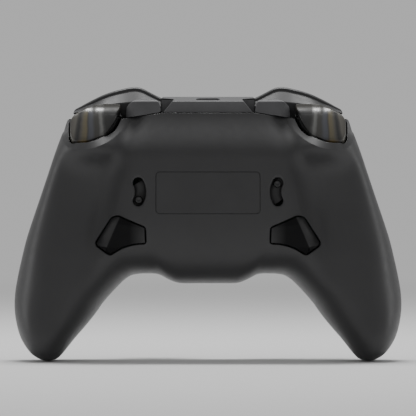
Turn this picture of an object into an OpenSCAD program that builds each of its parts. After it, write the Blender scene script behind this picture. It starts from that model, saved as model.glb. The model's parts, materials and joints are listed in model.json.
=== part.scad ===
// Handheld radio controller in game-pad form, drawn upright with its back towards -Y.
// X runs across the pad, Y from the back (-) to the thumb side (+), Z up to the triggers.
// Left and right are as seen from the back. All lengths are in millimetres.

/* [Shell] */
// Wall thickness of the moulded shells
wall = 2.2; // [1.8:0.1:3.0]
// Gap between the two shells at the parting line
seam_gap = 0.16; // [0.05:0.01:0.4]
// Depth of the back from the parting line at the centre
back_depth = 23.5; // [18:0.5:28]
// Depth of the front from the parting line at the centre
front_depth = 12.5; // [9:0.5:15]
// How far the grip tips sweep towards the back
grip_sweep = 11; // [6:0.5:14]
// Depth of the label recess
label_depth = 0.4; // [0.2:0.1:0.8]

/* [Triggers] */
// Height of the trigger's pivot
trigger_pivot_z = 43.8; // [43:0.1:44.5]
// Depth position of the trigger's pivot
trigger_pivot_y = -9.5; // [-10.5:0.1:-8.5]
// Radius of the trigger pins
trigger_pin_r = 1.2; // [1.0:0.1:1.3]
// Gap between a trigger and the shell
trigger_gap = 0.5; // [0.35:0.05:0.8]
// Thickness of the clear trigger cover
trigger_wall = 1.8; // [1.4:0.1:2.2]

/* [Sticks] */
// Height of the upper stick and of the button cluster
upper_z = 19; // [15:0.5:22]
// Distance of the upper stick from the centre
upper_x = 39; // [36:0.5:42]
// Height of the lower stick and of the directional pad
lower_z = -5; // [-8:0.5:-2]
// Distance of the lower stick from the centre
lower_x = 20.5; // [18:0.5:24]
// Depth position of the sticks' pivots
stick_pivot_y = 6; // [5:0.5:7]
// Radius of the dome below each stick cap
dome_r = 12.6; // [12:0.1:13]
// Radius of a stick cap
cap_r = 9.4; // [8.5:0.1:10]
// Front of the stick caps
cap_top_y = 27.4; // [26:0.1:29]

/* [Buttons] */
// Radius of the four face buttons
face_r = 5.1; // [4.5:0.1:5.5]
// Distance of each face button from the cluster's centre
face_pitch = 10.2; // [9.5:0.1:11]
// Length of the directional pad across its arms
dpad_l = 22; // [20:0.5:24]
// Width of one arm of the directional pad
dpad_w = 7; // [6:0.5:8]

/* [Levers] */
// Radius of the trigger stop levers' slots about their pivots
lever_r = 7.5; // [7:0.1:8]
// Distance of the levers' pivots from the centre
lever_x = 34.2; // [33:0.1:35]
// Height of the levers' pivots
lever_z = 12.5; // [11:0.1:14]
// Radius of a lever's knob
knob_r = 1.6; // [1.4:0.1:1.8]

/* [Hidden] */

// Outline of the left half: each entry joins a point on the inner edge to one on the outer edge.
// The list starts at the grip's tip and ends on the centre line.
ribs = [
    [[-63.3, -54.7], [-63.3, -54.7]],
    [[-60.2, -53.9], [-67.0, -53.9]],
    [[-58.1, -52.0], [-70.7, -51.4]],
    [[-55.6, -48.9], [-74.2, -46.5]],
    [[-53.3, -46.0], [-76.2, -41.0]],
    [[-50.0, -42.2], [-77.3, -34.5]],
    [[-47.0, -38.6], [-77.2, -28.0]],
    [[-44.5, -35.3], [-76.2, -21.5]],
    [[-42.2, -32.0], [-74.7, -14.5]],
    [[-39.4, -28.7], [-72.7, -6.4]],
    [[-36.6, -25.7], [-70.0, 2.0]],
    [[-33.4, -22.6], [-67.2, 10.2]],
    [[-30.6, -20.9], [-63.9, 20.0]],
    [[-27.4, -20.3], [-61.2, 28.0]],
    [[-24.5, -20.2], [-58.0, 36.5]],
    [[-21.8, -20.2], [-54.6, 44.0]],
    [[-19.3, -20.7], [-48.0, 50.0]],
    [[-15.8, -22.5], [-40.0, 53.0]],
    [[-12.8, -23.7], [-31.0, 55.0]],
    [[-10.0, -24.1], [-22.0, 56.0]],
    [[-5.0, -24.1], [-11.0, 56.0]],
    [[0, -24.1], [0, 56.0]]
];
last = len(ribs) - 1;
ring_count = 68;

function lerp(a, b, f) = a + (b - a) * f;
function clamp01(v) = max(0, min(1, v));
function ease(a, b, v) = let (f = clamp01((v - a) / (b - a))) f * f * (3 - 2 * f);
function bell(v, w) = exp(-(v / w) * (v / w));
function flip(p) = [-p[0], p[1]];

// Entry i of the rib list, carried on past the centre line as its mirror image.
function rib_at(i) =
    i < 0 ? ribs[0] :
    i <= last ? ribs[i] :
    i <= 2 * last ? [flip(ribs[2 * last - i][0]), flip(ribs[2 * last - i][1])] :
    [flip(ribs[0][0]), flip(ribs[0][1])];

// Smooth curve through the ribs.
function curve(p0, p1, p2, p3, f) =
    0.5 * (2 * p1 + (p2 - p0) * f + (2 * p0 - 5 * p1 + 4 * p2 - p3) * f * f
    + (3 * p1 - p0 - 3 * p2 + p3) * f * f * f);
function rib(t) =
    let (i = floor(t), f = t - i)
    f == 0 ? rib_at(i) :
    curve(rib_at(i - 1), rib_at(i), rib_at(i + 1), rib_at(i + 2), f);

// Parting line: flat over the body, swept back along the grips.
function seam(x, z) =
    1 - grip_sweep * clamp01((abs(x) - 25) / 40) * pow(clamp01((10 - z) / 62), 2);

// Line of the hollow between the middle of the back and each grip.
function hollow_x(z) = 32.6 + (38 - z) * 0.27;

// Depth of the back, measured from the parting line.
function back_centre(z) = back_depth - 7.2 * ease(26, 46, z);
function back_grip(z) = back_depth - 3.0 * ease(-14, 14, z) - 2.5 * ease(-20, -52, z);
function back_field(x, z) =
    let (a = abs(x))
    lerp(back_centre(z), back_grip(z), ease(28, 46, a))
    - 3.4 * bell(a - hollow_x(z), 5.4) * ease(-30, 4, z)
    + 7.2 * bell(a - 47.5, 11.5) * bell(z - 30.5, 6.5);

// Depth of the front, measured from the parting line.
function front_field(x, z) =
    front_depth - 1.5 * ease(46, 66, abs(x)) - 0.4 * pow(x / 50, 2) - 0.25 * pow((z - 8) / 30, 2);

// How square the body is towards the inner and outer end of each rib, and how the tips close.
function squareness(t, s) =
    let (u = min(t, 2 * last - t), far = s > 0.5)
    lerp(2.35, far ? 4.6 : 3.6, far ? ease(6, 13, u) : ease(10, 17, u));
function tip(t) = let (u = min(t, 2 * last - t)) u >= 5 ? 1 : sqrt(1 - pow(1 - u / 5, 2));
function round_off(t, s) =
    let (n = squareness(t, s)) pow(max(0, 1 - pow(abs(2 * s - 1), n)), 1 / n);

// A point of the body at fraction s across rib t; side is -1 for the back and 1 for the front.
function body_point(t, s, side, grow, inset) =
    let (r = rib(t), d = r[1] - r[0], l = max(norm(d), 0.001), k = min(inset / l, 0.45),
        p = r[0] + d * (k + s * (1 - 2 * k)),
        e = round_off(t, s) * tip(t),
        f = (side < 0 ? back_field(p[0], p[1]) : front_field(p[0], p[1])) + grow)
    [p[0], seam(p[0], p[1]) + side * e * max(f, 0.2), p[1]];

// Fractions across a rib, closer together near the edges.
function across(i, n) = 0.5 - 0.5 * cos(180 * i / n);

// Solid between the parting line and the back (-1) or front (1) surface.
module half_body(side, grow, n, count) {
    w = n + 1;
    pts = [
        for (k = [0:count], i = [0:n])
            body_point(0.25 + k / count * (2 * last - 0.5), across(i, n), side, grow, 0)
            + [0, side * seam_gap / 2, 0]
    ];
    quads = [
        for (k = [0:count - 1], i = [0:n - 1])
            let (b = k * w + i) for (q = [[b, b + w, b + 1], [b + 1, b + w, b + w + 1]]) q
    ];
    base = [
        for (k = [0:count - 1])
            let (b = k * w) for (q = [[b, b + n, b + w], [b + w, b + n, b + w + n]]) q
    ];
    ends = [[for (i = [0:n]) i], [for (i = [n:-1:0]) count * w + i]];
    all = concat(quads, base, ends);
    faces = side > 0 ? all : [for (f = all) [for (i = [len(f) - 1:-1:0]) f[i]]];
    polyhedron(pts, faces, convexity = 8);
}

// The hollow inside both shells, one closed tube from grip to grip.
module inner_body(n, count) {
    w = 2 * n;
    pts = [
        for (k = [0:count], j = [0:w - 1])
            let (t = 3 + k / count * (2 * last - 6), back = j < n, i = back ? j : w - j)
            body_point(t, across(i, n), back ? -1 : 1, -wall, wall)
    ];
    quads = [
        for (k = [0:count - 1], j = [0:w - 1])
            let (b = k * w, i = b + j, m = b + (j + 1) % w)
            for (q = [[i, m, i + w], [m, m + w, i + w]]) q
    ];
    ends = [[for (j = [w - 1:-1:0]) j], [for (j = [0:w - 1]) count * w + j]];
    polyhedron(pts, concat(quads, ends), convexity = 8);
}

// Depth of the back surface at a point of the left half.
function rib_gap(x, z, t) =
    let (r = rib(t), d = r[1] - r[0])
    abs(d[0] * (z - r[0][1]) - d[1] * (x - r[0][0])) / norm(d);
function nearest(x, z) =
    let (ts = [for (t = [1:0.25:last]) t], g = [for (t = ts) rib_gap(x, z, t)],
        m = min(g)) [for (i = [0:len(ts) - 1]) if (g[i] == m) ts[i]][0];
function back_y(x, z) =
    let (t = nearest(x, z), r = rib(t), d = r[1] - r[0],
        s = ([x, z] - r[0]) * d / (d * d))
    seam(x, z) - round_off(t, s) * back_field(x, z);

// Shapes drawn in the pad's own directions.
module plate_y(points, y0, y1) {
    translate([0, y1, 0]) rotate([90, 0, 0]) linear_extrude(y1 - y0) polygon(points);
}
module plate_x(points, x0, x1) {
    translate([x0, 0, 0]) rotate([90, 0, 90]) linear_extrude(x1 - x0) polygon(points);
}
module cyl_y(x, z, y0, y1, r, fn = 36) {
    translate([x, y1, z]) rotate([90, 0, 0]) cylinder(h = y1 - y0, r = r, $fn = fn);
}
module cyl_x(y, z, x0, x1, r, fn = 36) {
    translate([x0, y, z]) rotate([0, 90, 0]) cylinder(h = x1 - x0, r = r, $fn = fn);
}
module cyl_z(x, y, z0, z1, r, fn = 36) {
    translate([x, y, z0]) cylinder(h = z1 - z0, r = r, $fn = fn);
}
module box(x0, x1, y0, y1, z0, z1) {
    translate([x0, y0, z0]) cube([x1 - x0, y1 - y0, z1 - z0]);
}
module spin_x(profile, y, z, fn) {
    translate([0, y, z]) rotate([0, 90, 0]) rotate_extrude($fn = fn)
        polygon([for (p = profile) [p[1], p[0]]]);
}
module spin_y(profile, x, z) {
    translate([x, 0, z]) rotate([-90, 0, 0]) rotate_extrude($fn = 64) polygon(profile);
}
module on_side(s) {
    if (s < 0) children();
    else mirror([1, 0, 0]) children();
}
module both_sides() {
    children();
    mirror([1, 0, 0]) children();
}
// Turns the subtree into one faceted solid.
module faceted() {
    resize([0, 0, 0]) children();
}
function mirrored(p) = concat(p, [for (i = [len(p) - 1:-1:0]) if (p[i][0] != 0) flip(p[i])]);

// Where the shells end and the bridge, tabs and bumpers begin.
back_top = [[-80, 70], [-80, 41.4], [-35.0, 41.4], [-33.0, 41.7], [-18.2, 43.9]];
front_top = [[-80, 70], [-80, 41.6], [-54.0, 41.9], [-19.0, 43.7], [-18.2, 43.9]];
module above_seam(line, y0, y1) {
    plate_y(mirrored(line), y0, y1);
}

/* Triggers */
tp_y = trigger_pivot_y;
tp_z = trigger_pivot_z;
// Reach of the trigger from its pivot, across its width.
reach = [
    [-54.6, 13.8], [-53.8, 15.9], [-52.4, 17.0], [-50.0, 17.1], [-47.0, 16.8], [-44.0, 15.8],
    [-42.0, 14.6], [-40.0, 13.1], [-38.4, 11.0], [-37.0, 8.6], [-35.8, 5.6], [-34.9, 3.4]
];
// Outer edge of the bevel round the trigger opening.
bevel = [
    [-57.0, 16.5], [-55.5, 19.4], [-52.0, 21.2], [-48.6, 21.6], [-44.0, 21.0], [-40.9, 19.7],
    [-37.6, 17.4], [-35.4, 14.6], [-34.2, 10.8], [-33.7, 5.0]
];
function offset_reach(p, g) = [
    for (i = [0:len(p) - 1]) [p[i][0] + (p[i][0] < -45 ? -g : g), p[i][1] + g]
];
function closed(p) = concat([[p[0][0], 0]], p, [[p[len(p) - 1][0], 0]]);
trigger_face = [
    [-4.9, 47.3], [-8.0, 47.7], [-11.2, 46.9], [-14.2, 45.0], [-16.9, 42.2], [-19.3, 38.9],
    [-21.1, 35.9], [-22.1, 33.8], [-22.4, 32.5]
];
trigger_under = [
    [-6.6, 45.4], [-8.6, 45.8], [-10.7, 45.1], [-13.1, 43.6], [-15.5, 41.2], [-17.8, 38.0],
    [-19.5, 35.2], [-20.3, 33.2]
];
trigger_outline = [
    [-54.7, 15], [-54.7, 40.8], [-53.1, 43.1], [-49.5, 45.4], [-45.8, 47.0], [-42.5, 47.7],
    [-37.6, 47.8], [-34.8, 47.2], [-34.0, 44], [-34.0, 15]
];
module trigger_solid(s) {
    color([0.2, 0.18, 0.15, 0.6]) on_side(s) faceted() difference() {
        intersection() {
            plate_x(concat(trigger_face, [[-24, 28], [-14.2, 24.8], [-10.5, 39.8], [-6.3, 42]]),
                -55, -34);
            spin_x(closed(reach), tp_y, tp_z, 72);
            plate_y(trigger_outline, -30, 0);
        }
        intersection() {
            plate_x(concat(trigger_under, [[-22.5, 30], [-15, 20.5], [-7.5, 20.5], [-3, 42]]),
                -54.6 + trigger_wall, -34.9 - trigger_wall);
            plate_y(grown(trigger_outline, -1.6), -30, 5);
            spin_x(closed(offset_reach(reach, -trigger_wall)), tp_y, tp_z, 72);
        }
        cyl_x(tp_y, tp_z, -48.9, -37.7, 2.15, 24);
    }
}
module trigger_core_solid(s) {
    color([0.06, 0.06, 0.06]) on_side(s) difference() {
        union() {
            cyl_x(tp_y, tp_z, -48.6, -46.9, 2.0);
            cyl_x(tp_y, tp_z, -43.1, -38.0, 2.0);
            for (x = [[-48.6, -46.9], [-43.1, -40.0]])
                plate_x([[-10.9, 43.9], [-13.2, 42.0], [-12.0, 40.2], [-9.4, 42.3]], x[0], x[1]);
            plate_x([[-12.2, 42.6], [-13.4, 41.7], [-15.4, 39.2], [-17.2, 36.4], [-18.4, 34.3],
                [-17.2, 33.3], [-14.8, 36.0], [-11.6, 40.4]], -50.4, -44.7);
            plate_x([[-15.4, 39.2], [-17.2, 36.4], [-18.4, 34.3], [-17.2, 33.3], [-14.8, 36.0],
                [-13.8, 37.4]], -52.1, -50.3);
            plate_x([[-12.2, 42.6], [-13.4, 41.7], [-15.4, 39.2], [-14.4, 37.4], [-11.6, 40.4]],
                -44.8, -40.2);
        }
        cyl_x(tp_y, tp_z, -53, -36, trigger_pin_r + 0.05);
    }
}
module trigger_strip_solid(s) {
    color([0.8, 0.6, 0.25]) on_side(s)
        plate_x([[-18.8, 33.1], [-18.1, 33.7], [-15.8, 31.5], [-16.4, 30.9]], -51.6, -46.5);
}
module trigger_pin_solid(s) {
    color([0.7, 0.7, 0.72]) on_side(s) union() {
        cyl_x(tp_y, tp_z, -48.5, -38.2, trigger_pin_r);
        cyl_x(tp_y, tp_z, -46.2, -43.8, 2.0);
        plate_x([[-10.6, 42.2], [-8.1, 45.2], [-1.2, 38.5], [-1.2, 30], [-3.4, 30],
            [-4.4, 35]], -46.2, -43.8);
        plate_y([[-53.5, 35.5], [-51.6, 42.0], [-20, 43.5], [-20, 37], [-27.2, 37],
            [-28, 35.5]], -3.4, -2.2);
        box(-34.9, -19.2, -5.6, -4.4, 37, 45.3);
        box(-34.2, -20.5, -4.5, -3.3, 37, 41);
    }
}
module trigger_spring_solid(s) {
    color([0.75, 0.75, 0.78]) on_side(s) difference() {
        union() {
            cyl_x(tp_y, tp_z, -46.75, -46.3, 1.9);
            plate_x([[-9.0, 42.2], [-8.0, 42.6], [-4.4, 36.6], [-5.2, 36.0]], -46.75, -46.3);
        }
        cyl_x(tp_y, tp_z, -47, -46, trigger_pin_r + 0.15);
    }
}

/* Shells */
paddle_edge = [
    [-38.1, 2.2], [-35.6, 2.7], [-25.0, -1.8], [-24.8, -7.8], [-28.6, -8.0], [-32.0, -8.8],
    [-34.7, -9.8], [-38.8, -12.3], [-43.8, -8.8], [-44.2, -7.7]
];
stick_spots = [[upper_x, upper_z], [-lower_x, lower_z]];
dpad_spot = [lower_x, lower_z];
pad_spot = [-upper_x, upper_z];
face_spots = [
    [pad_spot[0], pad_spot[1] + face_pitch], [pad_spot[0] + face_pitch, pad_spot[1]],
    [pad_spot[0], pad_spot[1] - face_pitch], [pad_spot[0] - face_pitch, pad_spot[1]]
];
home_spot = [0, 28, 5.6];
small_spots = [[-10.5, 17.5, 2.8], [10.5, 17.5, 2.8], [0, 10.5, 2.3]];
screw_spots = [[47, -3], [-47, -3], [23.5, 33.5], [-23.5, 33.5]];

// Curved slot that a lever's knob sticks out of.
function arc(r, a0, a1, da, cx, cz) =
    [for (a = [a0:da:a1]) [cx + r * cos(a), cz + r * sin(a)]];
function end_cap(a, from, w) =
    [for (b = [from:30:from + 180])
        [-lever_x + lever_r * cos(a) + w * cos(b), lever_z + lever_r * sin(a) + w * sin(b)]];
module lever_slot(w, y0, y1) {
    plate_y(concat(
        arc(lever_r + w, -20, 20, 10, -lever_x, lever_z), end_cap(28, 28, w),
        arc(lever_r - w, 20, -20, -10, -lever_x, lever_z),
        end_cap(-28, 152, w)
    ), y0, y1);
}
module rounded_rect_y(w, h, cx, cz, r, y0, y1) {
    plate_y([
        for (q = [[1, 1, 0], [-1, 1, 90], [-1, -1, 180], [1, -1, 270]], a = [0:15:90])
            [cx + q[0] * (w / 2 - r) + r * cos(q[2] + a),
                cz + q[1] * (h / 2 - r) + r * sin(q[2] + a)]
    ], y0, y1);
}
module back_shell() {
    color([0.2, 0.2, 0.2]) faceted() union() {
        difference() {
            half_body(-1, 0, 22, ring_count);
            inner_body(14, 54);
            above_seam(back_top, -40, 12);
            both_sides() {
                intersection() {
                    spin_x(closed(offset_reach(reach, trigger_gap)), tp_y, tp_z, 60);
                    box(-60, -30, -40, -1.2, 10, 80);
                }
                intersection() {
                    spin_x(closed(bevel), tp_y, tp_z, 60);
                    plate_x([[tp_y, tp_z], [-29.5, 26.0], [-40, 30], [-40, 60], [-10, 60]],
                        -60, -30);
                }
                lever_slot(2.15, -40, -10);
                plate_y(grown(paddle_edge, 0.45), -40, -10);
            }
            rounded_rect_y(41.5, 16.8, 0, 12.1, 1.7, -40, -22.46 + label_depth);
        }
        for (p = screw_spots) difference() {
            cyl_y(p[0], p[1], -16.5 - (abs(p[0]) < 30 ? -1.5 : 0), 3.9, 3.0, 20);
            cyl_y(p[0], p[1], -9.5, 4, 1.45, 20);
        }
    }
}
// An outline moved outwards by a fixed distance.
function total(v, i = 0) = i == len(v) ? 0 : v[i] + total(v, i + 1);
function turn(p) =
    sign(total([for (i = [0:len(p) - 1]) let (q = p[(i + 1) % len(p)])
        p[i][0] * q[1] - p[i][1] * q[0]]));
function grown(p, g) = let (s = turn(p)) [
    for (i = [0:len(p) - 1])
        let (n = len(p), a = p[(i + n - 1) % n], b = p[i], c = p[(i + 1) % n],
            u = (b - a) / norm(b - a), v = (c - b) / norm(c - b),
            m = s * [u[1] + v[1], -(u[0] + v[0])])
        b + m * g / max(0.6, (m * m) / 2)
];

plate_edge = [
    [0, 41.6], [-16, 41.6], [-30, 40.2], [-42, 38.6], [-50, 36.2], [-54.5, 31], [-57, 22],
    [-58.5, 12], [-58, 3], [-54.5, -5], [-48.2, -11.4], [-41, -15.4], [-33, -17.6], [-24, -17.9],
    [-16, -19.4], [-9, -21.4], [0, -21.8]
];
module thumb_holes(grow, y0, y1) {
    for (p = stick_spots) cyl_y(p[0], p[1], y0, y1, 13.0 + grow, 48);
    for (p = face_spots) cyl_y(p[0], p[1], y0, y1, face_r + 0.35 + grow, 32);
    cyl_y(home_spot[0], home_spot[1], y0, y1, home_spot[2] + 0.3 + grow, 32);
    for (p = small_spots) cyl_y(p[0], p[1], y0, y1, p[2] + 0.3 + grow, 24);
    for (a = [0, 90]) translate([dpad_spot[0], y0, dpad_spot[1]]) rotate([0, a, 0])
        translate([-dpad_l / 2 - 0.8 - grow, 0, -dpad_w / 2 - 0.8 - grow])
        cube([dpad_l + 1.6 + 2 * grow, y1 - y0, dpad_w + 1.6 + 2 * grow]);
}
module front_shell() {
    color([0.2, 0.2, 0.2]) faceted() difference() {
        union() {
            difference() {
                half_body(1, 0, 16, ring_count);
                inner_body(14, 54);
            }
            for (p = screw_spots) cyl_y(p[0], p[1], 4.1, 11.0, 3.4, 20);
        }
        above_seam(front_top, -12, 40);
        intersection() {
            plate_y(grown(mirrored(plate_edge), 0.2), 2, 40);
            difference() {
                box(-80, 80, -5, 40, -40, 60);
                half_body(1, -0.7, 16, ring_count);
            }
        }
        thumb_holes(0, 2, 40);
        for (p = screw_spots) {
            cyl_y(p[0], p[1], 0, 20, 1.6, 20);
            cyl_y(p[0], p[1], 7.6, 20, 2.9, 20);
        }
        cyl_z(0, 4.7, -40, -10, 3.4, 32);
    }
}
module faceplate() {
    color([0.13, 0.13, 0.135]) faceted() difference() {
        intersection() {
            plate_y(mirrored(plate_edge), 2, 40);
            half_body(1, 0.5, 16, ring_count);
        }
        half_body(1, -0.6, 16, ring_count);
        thumb_holes(0.1, 2, 40);
    }
}
module label_plate() {
    color([0.22, 0.22, 0.22])
        rounded_rect_y(41.1, 16.4, 0, 12.1, 1.5, -22.34, -22.06);
}
module case_screws() {
    color([0.35, 0.35, 0.36]) for (p = screw_spots) {
        difference() {
            union() {
                cyl_y(p[0], p[1], 7.7, 9.6, 2.7);
                cyl_y(p[0], p[1], -8.5, 7.7, 1.4);
            }
            cyl_y(p[0], p[1], 8.4, 10, 1.1, 6);
        }
    }
}

/* Bridge and tabs */
bridge_edge = [
    [-17.9, 44.05], [-14.2, 48.6], [-18.3, 48.6], [-18.3, 51]
];
module pill_z(w, d, y, z0, z1) {
    translate([0, y, z0]) {
        translate([-(w - d) / 2, -d / 2, 0]) cube([w - d, d, z1 - z0]);
        for (s = [-1, 1]) translate([s * (w - d) / 2, 0, 0])
            cylinder(h = z1 - z0, d = d, $fn = 32);
    }
}
module top_bridge() {
    color([0.24, 0.24, 0.24]) difference() {
        intersection() {
            plate_x([[-14.1, 44.05], [-13.1, 48.6], [-5.0, 50.6], [6, 50.6], [9.6, 49.0],
                [11.4, 46.2], [12.0, 44.05]], -18.3, 18.3);
            plate_y(mirrored(bridge_edge), -30, 20);
        }
        plate_x([[-12.1, 40], [-12.1, 44.1], [-11.6, 46.8], [-5.0, 48.6], [6, 48.6],
            [8.4, 47.4], [9.9, 44.1], [9.9, 40]], -12.5, 12.5);
        pill_z(9.6, 3.7, -9.6, 40, 60);
    }
    color([0.24, 0.24, 0.24]) both_sides() box(-18.6, -13.6, -1.0, 0.2, 44.1, 48.9);
}
module usb_c_receptacle() {
    color([0.72, 0.72, 0.74]) union() {
        difference() {
            pill_z(9.2, 3.3, -9.6, 41.0, 49.1);
            pill_z(8.5, 2.6, -9.6, 42.0, 50);
        }
        box(-3.2, 3.2, -9.9, -9.3, 41.5, 47.8);
        box(-4.4, 4.4, -11.2, -8.0, 39.6, 41.1);
        box(-4.0, 4.0, -9.4, -1.2, 38.0, 39.7);
        box(-4.0, 4.0, -2.4, -1.2, 30.0, 38.1);
    }
}
macro_edge = [
    [-32.7, 41.98], [-32.4, 46.4], [-30.2, 48.6], [-26.7, 49.7], [-20.5, 49.2], [-19.2, 47.7],
    [-18.7, 44.1]
];
module macro_solid(s) {
    color([0.27, 0.27, 0.27]) on_side(s) intersection() {
        plate_y(macro_edge, -20, -7);
        plate_x([[-14.9, 41.5], [-13.4, 47.4], [-11.9, 49.0], [-9, 49.9], [-7, 49.9],
            [-7, 41.5]], -40, -10);
    }
}

/* Bumpers */
bumper_line = [
    [-53.9, 43.9, 45.0], [-53.2, 43.5, 45.9], [-51.0, 43.5, 47.1], [-48.5, 43.6, 48.5],
    [-45.2, 43.6, 50.2], [-42.0, 43.7, 51.7], [-39.0, 43.7, 52.8], [-36.2, 43.8, 53.6],
    [-33.6, 43.8, 54.2], [-31.2, 43.8, 54.7], [-28.6, 43.9, 54.8], [-26.3, 44.0, 54.2],
    [-22.8, 44.1, 52.4], [-20.5, 44.2, 51.2], [-18.9, 44.3, 50.5]
];
function bumper_ring(p) =
    let (b = p[1], t = p[2], h = t - b)
    [
        [-3.9, b], [-3.9, b + 0.42 * h], [0.4, t - min(1.8, 0.3 * h)],
        [0.6, t - min(0.6, 0.1 * h)], [1.7, t], [4.2, t - 0.05 * h], [7.2, t - 0.2 * h],
        [9.4, t - 0.48 * h], [10.6, b]
    ];
module bumper_solid(s) {
    w = 9;
    n = len(bumper_line);
    color([0.3, 0.3, 0.3]) on_side(s) difference() {
        polyhedron(
            [for (p = bumper_line, q = bumper_ring(p)) [p[0], q[0], q[1]]],
            concat(
                [for (k = [0:n - 2], j = [0:w - 1])
                    let (b = k * w, i = b + j, m = b + (j + 1) % w)
                    for (q = [[i, m, i + w], [m, m + w, i + w]]) q],
                [[for (j = [w - 1:-1:0]) j], [for (j = [0:w - 1]) (n - 1) * w + j]]
            ), convexity = 6);
        plate_x([[-1.9, 40], [-1.9, 45.4], [1.4, 47.2], [5, 47.6], [8.4, 45.2], [8.4, 40]],
            -44, -22);
    }
}

/* Paddles */
// Points of the face: x, z, height above the shell.
paddle_top = [
    [-38.1, 2.2, 0.9], [-35.6, 2.7, 1.3], [-25.0, -1.8, 0.0], [-24.8, -7.8, 0.0],
    [-28.6, -8.0, 0.2], [-32.0, -8.8, 0.4], [-34.7, -9.8, 0.8], [-38.8, -12.3, 1.0],
    [-43.8, -8.8, 0.6], [-44.2, -7.7, 0.6], [-36.1, -0.2, 3.0], [-40.0, -9.1, 3.2],
    [-31.5, -4.2, 0.1]
];
paddle_pin_x = -27;
paddle_y = -16.4;
module paddle_solid(s) {
    n = 10;
    pts = concat(
        [for (p = paddle_top) [p[0], back_y(p[0], p[1]) - p[2], p[1]]],
        [for (i = [0:n - 1]) let (p = paddle_top[i])
            [p[0], back_y(p[0], p[1]) + 2.0, p[1]]]
    );
    u = len(paddle_top);
    top = [
        [0, 1, 10], [1, 2, 10], [10, 2, 12], [2, 3, 12], [3, 4, 12], [4, 5, 12], [5, 6, 12],
        [6, 11, 12], [11, 10, 12], [6, 7, 11], [7, 8, 11], [8, 9, 11], [9, 0, 10], [9, 10, 11]
    ];
    rim = [for (i = [0:n - 1]) let (m = (i + 1) % n) for (q = [[i, u + i, m],
        [m, u + i, u + m]]) q];
    under = [[for (i = [n - 1:-1:0]) u + i]];
    color([0.15, 0.15, 0.15]) on_side(s) difference() {
        union() {
            polyhedron(pts, concat(top, rim, [for (i = [1:n - 2]) [u, u + i + 1, u + i]]),
                convexity = 4);
            cyl_z(paddle_pin_x, paddle_y, -6.9, -2.5, 1.9);
            box(-27.6, -26.4, -20, -17.4, -6.9, -2.5);
        }
        cyl_z(paddle_pin_x, paddle_y, -8, -1, 1.05);
    }
}

/* Levers */
module stop_lever_solid(s, a) {
    color([0.1, 0.1, 0.1]) on_side(s) translate([-lever_x, 0, lever_z]) rotate([0, -a, 0])
        difference() {
            union() {
                rotate([0, 180, 0]) cyl_y(0, 0, -15.6, -14.2, 2.6);
                box(1.6, lever_r - 0.8, -15.4, -14.4, -1.1, 1.1);
                cyl_y(lever_r, 0, -15.6, -14.2, 2.0);
                cyl_y(lever_r, 0, -22.4, -15.3, knob_r);
            }
            cyl_y(0, 0, -17, -13, 1.05);
        }
}
module lever_pins() {
    color([0.4, 0.4, 0.42]) both_sides() {
        cyl_y(-lever_x, lever_z, -13.8, -1.2, 2.0);
        cyl_y(-lever_x, lever_z, -16.0, -13.8, 1.0);
        cyl_z(paddle_pin_x, paddle_y, -8.4, -0.8, 1.0);
        box(-28.2, -25.8, -16.6, -1.2, -8.9, -7.4);
        box(-28.2, -25.8, -16.9, -1.2, -2.0, -0.4);
    }
}

/* Inside */
board_edge = [
    [0, 34], [-50, 34], [-53, 24], [-54, 12], [-51, 2], [-43.4, -2.2], [-43.4, -9], [-34, -15],
    [-12, -17.5], [0, -17.5]
];
module main_board() {
    color([0.08, 0.25, 0.14]) difference() {
        plate_y(mirrored(board_edge), -1.2, 0.2);
        for (p = screw_spots) cyl_y(p[0], p[1], -3, 2, 3.5);
    }
}
module battery_pack() {
    color([0.15, 0.35, 0.6]) rounded_rect_y(39, 31, 0, 8, 2, -18.2, -11.0);
}
module headphone_jack() {
    color([0.05, 0.05, 0.05]) difference() {
        union() {
            cyl_z(0, 4.7, -24.0, -9.5, 3.2);
            box(-3.5, 3.5, 0.2, 7.9, -17.5, -9.5);
        }
        cyl_z(0, 4.7, -25, -10, 1.8);
    }
}
module button_membrane() {
    color([0.6, 0.6, 0.62]) union() {
        cyl_y(pad_spot[0], pad_spot[1], 0.2, 1.2, 14);
        for (p = face_spots) translate([p[0], 1.2, p[1]]) rotate([-90, 0, 0])
            cylinder(h = 3.8, r1 = 4.2, r2 = 2.4, $fn = 32);
    }
}
module dpad_membrane() {
    color([0.6, 0.6, 0.62]) difference() {
        union() {
            cyl_y(dpad_spot[0], dpad_spot[1], 0.2, 1.2, 12);
            for (a = [0:90:270])
                translate([dpad_spot[0] + 7.5 * cos(a), 1.2, dpad_spot[1] + 7.5 * sin(a)])
                rotate([-90, 0, 0]) cylinder(h = 5, r1 = 3, r2 = 2, $fn = 32);
        }
        cyl_y(dpad_spot[0], dpad_spot[1], 0, 2, 3);
    }
}
module rumble_motor(s) {
    color([0.6, 0.6, 0.62]) on_side(s) union() {
        cyl_y(-60, -24, -13, -2, 5.5);
        cyl_y(-60, -24, -2, 4.4, 0.8);
    }
}
module motor_weight(s) {
    color([0.45, 0.45, 0.47]) on_side(s) difference() {
        union() {
            intersection() {
                cyl_y(-60, -24, -1, 4, 6);
                box(-70, -50, -2, 5, -32, -24);
            }
            cyl_y(-60, -24, -1, 4, 2);
        }
        cyl_y(-60, -24, -2, 5, 0.85);
    }
}
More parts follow.
